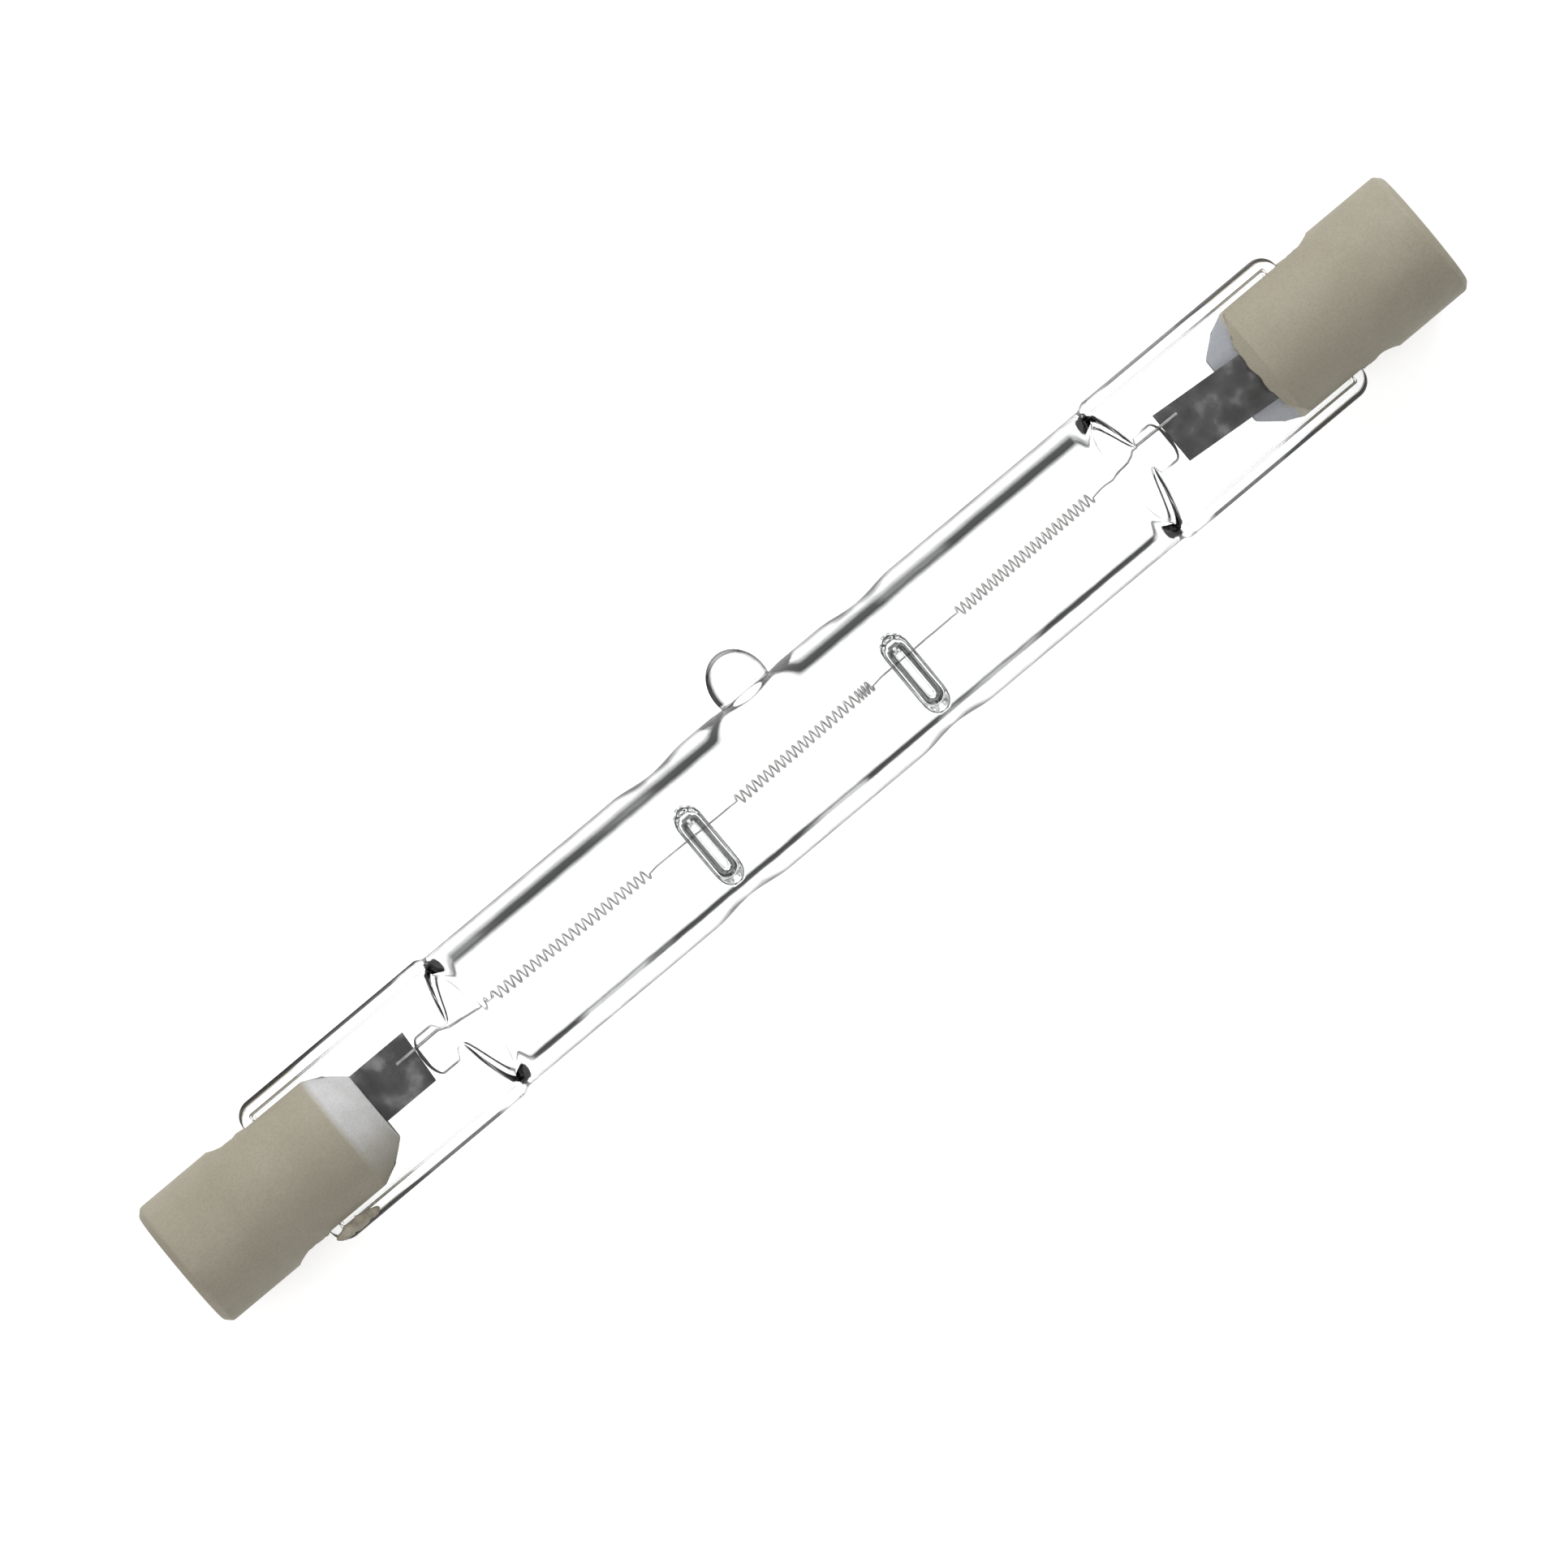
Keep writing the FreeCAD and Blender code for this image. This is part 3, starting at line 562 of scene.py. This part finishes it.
def foil(side):
    """Thin foil with feathered edges and a slight ripple, cut or laid a little askew."""
    low = corner_mm(f"foil_{side}", 0)
    high = corner_mm(f"foil_{side}", 1)
    centre = (low + high) / 2
    half = (high - low) / 2
    along = np.linspace(low[0], high[0], FOIL_POINTS[0])
    x, turn = np.meshgrid(along, full_turn(FOIL_POINTS[1]), indexing="ij")
    y = centre[1] + half[1] * np.cos(turn)
    ripple = LONG_RIPPLE * np.sin(x * 2.3 + y) + CROSS_RIPPLE * np.sin(y * 3.1 - x)
    z = centre[2] + FOIL_FULLNESS * half[2] * np.sin(turn) + ripple
    if side == "left":
        x = x + FOIL_SKEW * (y - centre[1])
    else:
        y = y - FOIL_SKEW * (x - low[0])
    return make_mesh(f"foil_{side}_sheet", skin(np.stack([x, y, z], axis=-1)))


# Caps, contacts and cement


def slot_tool():
    """Prism with the slot's outline, rounded at its bottom."""
    mouth = CAP_LENGTH + TOOL_OVERRUN
    outline = [(mouth, -SLOT_HALF), (mouth, SLOT_HALF)]
    for turn in np.linspace(0, math.pi / 2, SLOT_CORNER_STEPS):
        x = SLOT_START + SLOT_CORNER * (1 - math.sin(turn))
        outline.append((x, SLOT_HALF - SLOT_CORNER * (1 - math.cos(turn))))
    outline += [(x, -z) for x, z in outline[:1:-1]]
    reach = CAP_RADIUS + TOOL_OVERRUN
    rings = np.array([[(x, y, z) for x, z in outline] for y in (reach, -reach)])
    return make_mesh("slot_tool", skin(rings))


def chip_tool():
    """What broke off the right cap's upper prong, with a rough face, in the left cap's place."""
    beyond = CAP_LENGTH + TOOL_OVERRUN
    side = CAP_RADIUS + 0.05
    ys = np.linspace(-side, side, BREAK_POINTS[0])
    places, edges = zip(*BREAK_LINE)
    rings = []
    for z in np.linspace(BREAK_FLOOR, CAP_RADIUS + 0.1, BREAK_POINTS[1]):
        ring = [(beyond, ys[-1], z), (beyond, ys[0], z)]
        for y in ys:
            rough = roughness(Vector((y, z, 0)) * BREAK_NOISE_SCALE, 0.9)
            edge = np.interp(y, places, edges) + BREAK_ROUGHNESS * rough
            ring.append((edge + BREAK_LEAN * (z - CAP_RADIUS), y, z))
        rings.append([(x, -y, z) for x, y, z in ring])
    return make_mesh("chip_tool", skin(np.array(rings)))


def ceramic_cap(side):
    """Round cap with its contact recess, its slot and its bevelled prongs, chipped on the right."""
    profile = (
        (SEAT_FLOOR, SEAT_RADIUS),
        (SEAT_EDGE, SEAT_RADIUS),
        (SEAT_EDGE, RECESS_RADIUS),
        (0.0, RECESS_RADIUS),
        (0.0, CAP_RADIUS - CAP_RIM),
        (CAP_RIM, CAP_RADIUS),
        (CAP_LENGTH - NOSE_LENGTH, CAP_RADIUS),
        (CAP_LENGTH - NOSE_LENGTH / 2, (CAP_RADIUS + NOSE_RADIUS) / 2 + NOSE_BULGE),
        (CAP_LENGTH, NOSE_RADIUS),
    )
    cap = make_mesh(f"ceramic_cap_{side}_body", skin(lathed(profile)))
    carve(cap, slot_tool())
    edges = cap.modifiers.new("edges", "BEVEL")
    edges.width = CAP_EDGE * MM
    edges.segments = 3
    edges.limit_method = "ANGLE"
    edges.angle_limit = math.radians(35)
    edges.use_clamp_overlap = False
    settle(cap)
    if side == "right":
        carve(cap, chip_tool())
        cap.data.transform(turned_end_for_end())
    cap.data.set_sharp_from_angle(angle=math.radians(24))
    return cap


def turned_end_for_end():
    """Moves a piece of the left end to the right end."""
    return Matrix.Translation((LAMP_LENGTH * MM, 0, 0)) @ Matrix.Rotation(math.pi, 4, "Z")


def contact(side):
    """Domed button with rounded edges on its stem."""
    face = corner_mm("contact_left", 0)[0]
    stem_end, _, radius = corner_mm("contact_left", 1)
    crown_edge = face + CONTACT_CROWN
    crown_radius = radius * CONTACT_FLAT
    back = face + CONTACT_HEAD
    profile = []
    for share in np.linspace(0.02, 1, CROWN_STEPS):
        profile.append((face + CONTACT_CROWN * share**2, crown_radius * share))
    for turn in np.linspace(0, math.pi / 2, EDGE_STEPS)[1:]:
        x = crown_edge + CONTACT_EDGE * (1 - math.cos(turn))
        profile.append((x, crown_radius + CONTACT_EDGE * math.sin(turn)))
    profile += [(back - CONTACT_CHAMFER, radius), (back, radius - CONTACT_CHAMFER)]
    profile += [(back, STEM_RADIUS), (stem_end, STEM_RADIUS)]
    button = make_mesh(f"contact_{side}_button", skin(lathed(profile)))
    if side == "right":
        button.data.transform(turned_end_for_end())
    return button


def cement(side):
    """The CAD node's plug with a rough, crumbly surface."""
    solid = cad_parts[f"cement_{side}"]
    plug = bpy.data.objects.new(f"cement_{side}_plug", solid.data.copy())
    bpy.context.scene.collection.objects.link(plug)
    weld = plug.modifiers.new("weld", "WELD")
    weld.merge_threshold = 1e-6
    remesh = plug.modifiers.new("remesh", "REMESH")
    remesh.mode = "VOXEL"
    remesh.voxel_size = CEMENT_GRAIN * MM
    settle(plug)
    normals = [vertex.normal.copy() for vertex in plug.data.vertices]
    for vertex, normal in zip(plug.data.vertices, normals):
        rough = roughness(vertex.co * CEMENT_NOISE_SCALE)
        vertex.co += normal * (CEMENT_ROUGHNESS * MM * (rough - MEAN_NOISE))
    plug.data.shade_smooth()
    return plug


def smear_noise(x, turn):
    return roughness(Vector((x * SMEAR_NOISE_SCALE, math.cos(turn), math.sin(turn))))


def cement_smear():
    """Rough, flat-bottomed lump that tapers to both ends."""
    along = np.linspace(*SMEAR_ENDS, SMEAR_POINTS[0])
    x, turn = np.meshgrid(along, full_turn(SMEAR_POINTS[1]), indexing="ij")
    from_middle = x - sum(SMEAR_ENDS) / 2
    taper = np.sqrt(1 - (from_middle / SMEAR_HALF_LENGTH) ** 2)
    size = taper * (1 + SMEAR_ROUGHNESS * np.vectorize(smear_noise)(x, turn))
    y = SMEAR_SIDE - SMEAR_SLOPE * from_middle + SMEAR_HALF_WIDTH * size * np.cos(turn)
    z = np.maximum(SMEAR_LEVEL + SMEAR_HALF_HEIGHT * size * np.sin(turn), SMEAR_FLOOR)
    return make_mesh("cement_left_smear", skin(np.stack([x, y, z], axis=-1)))


# Materials


def new_material(name):
    material = bpy.data.materials.new(name)
    material.use_nodes = True
    material.node_tree.nodes.clear()
    return material, material.node_tree


def node(tree, kind, inputs=None, **settings):
    """A shader node; each input is a value or the output that feeds it."""
    item = tree.nodes.new("ShaderNode" + kind)
    for name, value in settings.items():
        setattr(item, name, value)
    for name, value in (inputs or {}).items():
        if isinstance(value, bpy.types.NodeSocket):
            tree.links.new(value, item.inputs[name])
        else:
            item.inputs[name].default_value = value
    return item


def ramp(tree, factor, *stops):
    """Colours along a factor; each stop is its place and its colour."""
    item = node(tree, "ValToRGB", {"Fac": factor})
    elements = item.color_ramp.elements
    while len(elements) < len(stops):
        elements.new(0.5)
    for element, (position, colour) in zip(elements, stops):
        element.position = position
        element.color = (*colour, 1)
    return item.outputs["Color"]


def grey(shade):
    return (shade, shade, shade)


def place(tree):
    """Where a point is in the frame, in metres."""
    return node(tree, "TexCoord").outputs["Object"]


def speckle(tree, size_mm, detail=4.0):
    """Noise with features of about that size."""
    inputs = {"Vector": place(tree), "Scale": 1 / (size_mm * MM), "Detail": detail}
    return node(tree, "TexNoise", inputs).outputs["Fac"]


def bump(tree, height, depth_mm):
    return node(tree, "Bump", {"Height": height, "Distance": depth_mm * MM}).outputs["Normal"]


def blended(tree, factor, first, second, mode="MIX"):
    """The first colour at factor 0, and the second, or both multiplied, at factor 1."""
    item = node(tree, "Mix", data_type="RGBA", blend_type=mode)
    for socket, value in zip((item.inputs[0], item.inputs[6], item.inputs[7]), (factor, first, second)):
        if isinstance(value, bpy.types.NodeSocket):
            tree.links.new(value, socket)
        else:
            socket.default_value = value
    return item.outputs[2]


def times(tree, first, second):
    return node(tree, "Math", {0: first, 1: second}, operation="MULTIPLY").outputs[0]


def larger(tree, first, second):
    return node(tree, "Math", {0: first, 1: second}, operation="MAXIMUM").outputs[0]


def finish_material(tree, shader):
    node(tree, "OutputMaterial", {"Surface": shader.outputs["BSDF"]})


def level(tree, axis, start, end):
    """0 on the start's side and 1 on the end's side, along one axis of the lamp."""
    along = node(tree, "SeparateXYZ", {"Vector": place(tree)}).outputs[axis]
    inputs = {"Value": along, "From Min": start * MM, "From Max": end * MM}
    return node(tree, "MapRange", inputs).outputs["Result"]


def mixed_shader(tree, factor, first, second):
    return node(tree, "MixShader", {0: factor, 1: first, 2: second}).outputs["Shader"]


def clear_quartz(name, painted_dark_lines):
    """Clear glass that lets the lamps' light through, with painted shade where the dark-line factor
    gives 1: a near-black matt surface in place of the dark refractions and reflections that glass
    shows.
    """
    material, tree = new_material(name)
    facing = node(tree, "LayerWeight", {"Blend": 0.5}).outputs["Facing"]
    tint = ramp(tree, speckle(tree, 6.0), (0.4, (0.975, 0.985, 0.985)), (0.7, (0.99, 0.99, 0.99)))
    glass = node(tree, "BsdfPrincipled", {
        "Base Color": tint,
        "Roughness": ramp(tree, speckle(tree, 1.2), (0.55, grey(0.0)), (0.9, grey(0.05))),
        "IOR": 1.458,
        "Transmission Weight": 1.0,
        "Normal": bump(tree, speckle(tree, 2.2, 2.0), 0.02),
    })
    # Painted shade: near-black matt colour mixed into the glass for its dark lines
    dark = node(tree, "BsdfDiffuse", {"Color": (0.02, 0.02, 0.021, 1)})
    through = node(tree, "BsdfTransparent", {"Color": (0.93, 0.93, 0.93, 1)})
    lined = mixed_shader(tree, painted_dark_lines(tree, facing), glass.outputs["BSDF"], dark.outputs["BSDF"])
    shadow = node(tree, "LightPath").outputs["Is Shadow Ray"]
    surface = mixed_shader(tree, shadow, lined, through.outputs["BSDF"])
    node(tree, "OutputMaterial", {"Surface": surface})
    return material


def near_ends(tree, far, near):
    """0 beyond the far distance from an end of the lamp, and 1 within the near one."""
    left = level(tree, "X", far, near)
    right = level(tree, "X", LAMP_LENGTH - far, LAMP_LENGTH - near)
    return larger(tree, left, right)


def near_dimples(tree):
    """1 over the dimples at both supports, and 0 beside them."""
    at_supports = []
    for support in SUPPORTS:
        left = level(tree, "X", support - 1.2, support - 1.0)
        right = level(tree, "X", support + 1.2, support + 1.0)
        at_supports.append(times(tree, left, right))
    reach = DIMPLE_REACH + DIMPLE_RADIUS
    low = level(tree, "Y", DIMPLE_SHIFT - reach - 0.5, DIMPLE_SHIFT - reach - 0.3)
    high = level(tree, "Y", DIMPLE_SHIFT + reach + 0.6, DIMPLE_SHIFT + reach + 0.4)
    return times(tree, larger(tree, *at_supports), times(tree, low, high))


def painted_outer_lines(tree, facing):
    """Painted dark lines: a thin outline along the tube, a broader one on dimples, rails and exhaust
    tip, and a band on the far wall seen through the glass, away from the lamp's ends.
    """
    tube = ramp(tree, facing, (0.62, grey(0.0)), (0.88, grey(0.5)))
    dimple = ramp(tree, facing, (0.48, grey(0.0)), (0.72, grey(0.75)))
    tube = blended(tree, near_dimples(tree), tube, dimple)
    rail = ramp(tree, facing, (0.4, grey(0.0)), (0.6, grey(0.85)))
    tip_left = ramp(tree, facing, (0.3, grey(0.0)), (0.5, grey(0.95)))
    tip_right = ramp(tree, facing, (0.4, grey(0.0)), (0.65, grey(0.7)))
    tip = blended(tree, level(tree, "X", TIP_X - 1.2, TIP_X - 0.2), tip_left, tip_right)
    from_air = blended(tree, near_ends(tree, *TUBE_TO_RAILS), tube, rail)
    from_air = blended(tree, level(tree, "Y", TUBE_RADIUS, TUBE_RADIUS + 0.15), from_air, tip)
    from_glass = ramp(
        tree, facing, (0.24, grey(0.0)), (0.265, grey(0.5)), (0.28, grey(0.5)), (0.3, grey(0.0))
    )
    from_glass = blended(tree, near_ends(tree, *TUBE_BACK_LINE_END), from_glass, (0, 0, 0, 1))
    return blended(tree, node(tree, "NewGeometry").outputs["Backfacing"], from_air, from_glass)


def painted_hollow_lines(tree, facing):
    """Painted shade: dark lines where the hollow's wall turns light back, in a broader band on the
    tip's side.
    """
    tip_side = level(tree, "Y", -0.5, 0.5)
    thin = ramp(
        tree, facing, (0.245, grey(0.0)), (0.262, grey(1.0)), (0.30, grey(1.0)), (0.325, grey(0.0))
    )
    broad = ramp(tree, facing, (0.2, grey(0.0)), (0.25, grey(1.0)), (0.31, grey(1.0)), (0.4, grey(0.0)))
    band = blended(tree, tip_side, thin, broad)
    weakest = blended(tree, tip_side, (0.5, 0.5, 0.5, 1), (0.85, 0.85, 0.85, 1))
    # Patches where the painted dark line is weaker
    patches = ramp(tree, speckle(tree, 5.0, 1.0), (0.38, grey(0.0)), (0.45, grey(1.0)))
    uneven = blended(tree, patches, weakest, (1, 1, 1, 1))
    from_glass = blended(tree, 1.0, band, uneven, "MULTIPLY")
    from_hollow = ramp(tree, facing, (0.6, grey(0.0)), (0.85, grey(0.9)))
    tube = blended(tree, node(tree, "NewGeometry").outputs["Backfacing"], from_hollow, from_glass)
    fade = ramp(tree, near_ends(tree, *HOLLOW_LINE_END), (0.0, grey(1.0)), (1.0, grey(0.0)))
    fade = larger(tree, fade, times(tree, near_ends(tree, *SHOULDER_LINE_START), 0.4))
    tube = blended(tree, 1.0, tube, fade, "MULTIPLY")
    pocket = ramp(tree, facing, (0.2, grey(0.0)), (0.5, grey(0.9)))
    return blended(tree, near_ends(tree, *THROAT_TO_POCKET), tube, pocket)


def tungsten():
    material, tree = new_material("tungsten_wire")
    colour = ramp(tree, speckle(tree, 0.5), (0.3, (0.2, 0.195, 0.19)), (0.75, (0.42, 0.41, 0.4)))
    shader = node(tree, "BsdfPrincipled", {
        "Base Color": colour,
        "Metallic": 1.0,
        "Roughness": ramp(tree, speckle(tree, 0.2), (0.3, grey(0.3)), (0.8, grey(0.5))),
        "Normal": bump(tree, speckle(tree, 0.06), 0.006),
    })
    finish_material(tree, shader)
    return material


def molybdenum():
    material, tree = new_material("molybdenum_foil")
    colour = ramp(
        tree,
        speckle(tree, 1.3),
        (0.38, (0.02, 0.019, 0.019)),
        (0.52, (0.05, 0.047, 0.048)),
        (0.68, (0.17, 0.165, 0.165)),
    )
    shader = node(tree, "BsdfPrincipled", {
        "Base Color": colour,
        "Metallic": 0.6,
        "Roughness": ramp(tree, speckle(tree, 0.4), (0.3, grey(0.4)), (0.8, grey(0.6))),
        "Normal": bump(tree, speckle(tree, 0.9, 1.0), 0.015),
    })
    finish_material(tree, shader)
    return material


def contact_metal():
    material, tree = new_material("contact_metal")
    tarnish = ramp(tree, speckle(tree, 0.8), (0.35, (0.32, 0.3, 0.27)), (0.7, (0.62, 0.6, 0.57)))
    shader = node(tree, "BsdfPrincipled", {
        "Base Color": tarnish,
        "Metallic": 1.0,
        "Roughness": ramp(tree, speckle(tree, 0.3), (0.3, grey(0.25)), (0.8, grey(0.45))),
        "Normal": bump(tree, speckle(tree, 0.08), 0.008),
    })
    finish_material(tree, shader)
    return material


def ceramic():
    """Matt beige ceramic. The left cap's nose bevel is paler and greyer, partly from its own ground
    colour and partly from a painted highlight on its lit +Y side. The right cap's lower prong bevel has
    painted bluish-grey shade.
    """
    material, tree = new_material("steatite_ceramic")
    body = ramp(tree, speckle(tree, 3.0), (0.3, (0.365, 0.332, 0.252)), (0.7, (0.41, 0.376, 0.292)))
    crease = CAP_LENGTH - NOSE_LENGTH
    left_nose = level(tree, "X", crease - 0.1, crease + 0.3)
    left_end = times(tree, left_nose, level(tree, "X", MIDDLE, MIDDLE - 1))
    # Mask for the painted highlight: the left nose bevel, full on its lit +Y side and fading out
    # towards -Y
    pale_lit_left_bevel = times(tree, left_end, level(tree, "Y", -3.0, 0.0))
    right_nose = level(tree, "X", LAMP_LENGTH - crease, LAMP_LENGTH - crease - 0.3)
    right_end = times(tree, right_nose, level(tree, "X", MIDDLE, MIDDLE + 1))
    # Mask for the painted shade: the right cap's nose bevel below the slot
    shaded_right_bevel = times(tree, right_end, level(tree, "Z", 0.0, -1.0))
    # Pale grey for the left nose bevel: partly its own ground colour, partly a painted highlight where
    # the lamp light falls
    pale = ramp(tree, speckle(tree, 1.0), (0.3, (0.54, 0.54, 0.53)), (0.7, (0.64, 0.64, 0.65)))
    colour = blended(tree, pale_lit_left_bevel, body, pale)
    # Painted shade: a dark bluish grey on the right lower bevel in place of the beige
    colour = blended(tree, shaded_right_bevel, colour, (0.3, 0.31, 0.34, 1))
    grain = ramp(tree, speckle(tree, 0.12, 6.0), (0.35, grey(0.9)), (0.6, grey(1.0)))
    shader = node(tree, "BsdfPrincipled", {
        "Base Color": blended(tree, 1.0, colour, grain, "MULTIPLY"),
        "Roughness": ramp(tree, speckle(tree, 0.5), (0.3, grey(0.55)), (0.8, grey(0.75))),
        "Normal": bump(tree, speckle(tree, 0.15, 6.0), 0.012),
    })
    finish_material(tree, shader)
    return material


def cement_paste():
    material, tree = new_material("cement_paste")
    body = ramp(tree, speckle(tree, 0.5, 6.0), (0.3, (0.3, 0.27, 0.21)), (0.7, (0.58, 0.53, 0.43)))
    shader = node(tree, "BsdfPrincipled", {
        "Base Color": body,
        "Roughness": ramp(tree, speckle(tree, 0.3), (0.3, grey(0.8)), (0.8, grey(0.95))),
        "Normal": bump(tree, speckle(tree, 0.12, 6.0), 0.05),
    })
    finish_material(tree, shader)
    return material


# Floor, light and camera


def floor_material():
    """Pale floor that looks white to the camera, in reflections and through the glass."""
    material, tree = new_material("pale_floor")
    path = node(tree, "LightPath").outputs
    seen = larger(tree, path["Is Camera Ray"], path["Is Glossy Ray"])
    through = times(tree, path["Is Transmission Ray"], FLOOR_GLOW_THROUGH_GLASS)
    lift = larger(tree, times(tree, seen, FLOOR_GLOW), through)
    shader = node(tree, "BsdfPrincipled", {
        "Base Color": (0.8, 0.8, 0.8, 1),
        "Roughness": 0.9,
        "Specular IOR Level": 0.0,
        "Emission Color": (1, 1, 1, 1),
        "Emission Strength": lift,
    })
    finish_material(tree, shader)
    return material


def stage_floor():
    """Floor under the lamp, which lies on its tube."""
    mesh = bpy.data.meshes.new("floor")
    height = cad_box[0][2]
    half = FLOOR_HALF_SIZE
    corners = [(-half, -half), (half, -half), (half, half), (-half, half)]
    mesh.from_pydata([(x + MIDDLE * MM, y, height) for x, y in corners], [], [(0, 1, 2, 3)])
    floor = bpy.data.objects.new("floor", mesh)
    floor.data.materials.append(floor_material())
    bpy.context.scene.collection.objects.link(floor)


def softbox(name, position, size, power):
    """Soft lamp that points at the middle of the bulb."""
    light = bpy.data.lights.new(name, "AREA")
    light.shape = "RECTANGLE"
    light.size, light.size_y = size
    light.energy = power
    lamp = bpy.data.objects.new(name, light)
    lamp.location = position
    target = Vector((MIDDLE * MM, 0, 0))
    lamp.rotation_euler = (target - Vector(position)).to_track_quat("-Z", "Y").to_euler()
    bpy.context.scene.collection.objects.link(lamp)


def lighting():
    """Plain light from all around, which the camera and the glass see as white, and two soft lamps."""
    world = bpy.data.worlds.new("studio")
    bpy.context.scene.world = world
    world.use_nodes = True
    tree = world.node_tree
    path = node(tree, "LightPath").outputs
    direct = larger(tree, path["Is Camera Ray"], path["Is Glossy Ray"])
    seen = larger(tree, direct, path["Is Transmission Ray"])
    strength = node(tree, "MapRange", {"Value": seen, "To Min": WORLD_LIGHT, "To Max": 1.0})
    background = tree.nodes["Background"].inputs
    background["Color"].default_value = (1, 1, 1, 1)
    tree.links.new(strength.outputs["Result"], background["Strength"])
    softbox("key_light", (0.55, 0.61, 0.34), (0.4, 0.4), 4.6)
    softbox("fill_light", (-0.5, 0.0, 0.8), (0.5, 0.5), 2.6)


def camera():
    """Looks straight down on the lamp, turned and placed as in the photo."""
    data = bpy.data.cameras.new("photo_camera")
    view = bpy.data.objects.new("photo_camera", data)
    bpy.context.scene.collection.objects.link(view)
    right = Vector((math.cos(LAMP_TURN), -math.sin(LAMP_TURN), 0))
    up = Vector((math.sin(LAMP_TURN), math.cos(LAMP_TURN), 0))
    pixel = MM_PER_PIXEL * MM
    across = (LAMP_CENTRE_PIXEL[0] - PHOTO_WIDTH / 2) * pixel
    above = (PHOTO_HEIGHT / 2 - LAMP_CENTRE_PIXEL[1]) * pixel
    view.location = Vector((MIDDLE * MM, 0, CAMERA_HEIGHT)) - across * right - above * up
    view.rotation_euler = (0, 0, -LAMP_TURN)
    data.sensor_width = 36
    data.lens = data.sensor_width * CAMERA_HEIGHT / (PHOTO_HEIGHT * pixel)
    data.clip_start = 0.01
    bpy.context.scene.camera = view


def main():
    quartz_glass()
    placed(filament(), "tungsten", tungsten(), "filament")
    foil_finish = molybdenum()
    cap_finish = ceramic()
    contact_finish = contact_metal()
    cement_finish = cement_paste()
    for side in SIDES:
        placed(foil(side), "molybdenum", foil_finish, f"foil_{side}")
        placed(ceramic_cap(side), "ceramic", cap_finish, f"ceramic_cap_{side}")
        placed(contact(side), "contact_metal", contact_finish, f"contact_{side}")
        placed(cement(side), "cement", cement_finish, f"cement_{side}")
        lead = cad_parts[f"outer_lead_{side}"]
        lead.data.materials.clear()
        lead.data.materials.append(foil_finish)
    placed(cement_smear(), "cement", cement_finish, "cement_left")
    stage_floor()
    lighting()
    camera()
    bpy.context.scene.view_settings.view_transform = "Standard"


main()
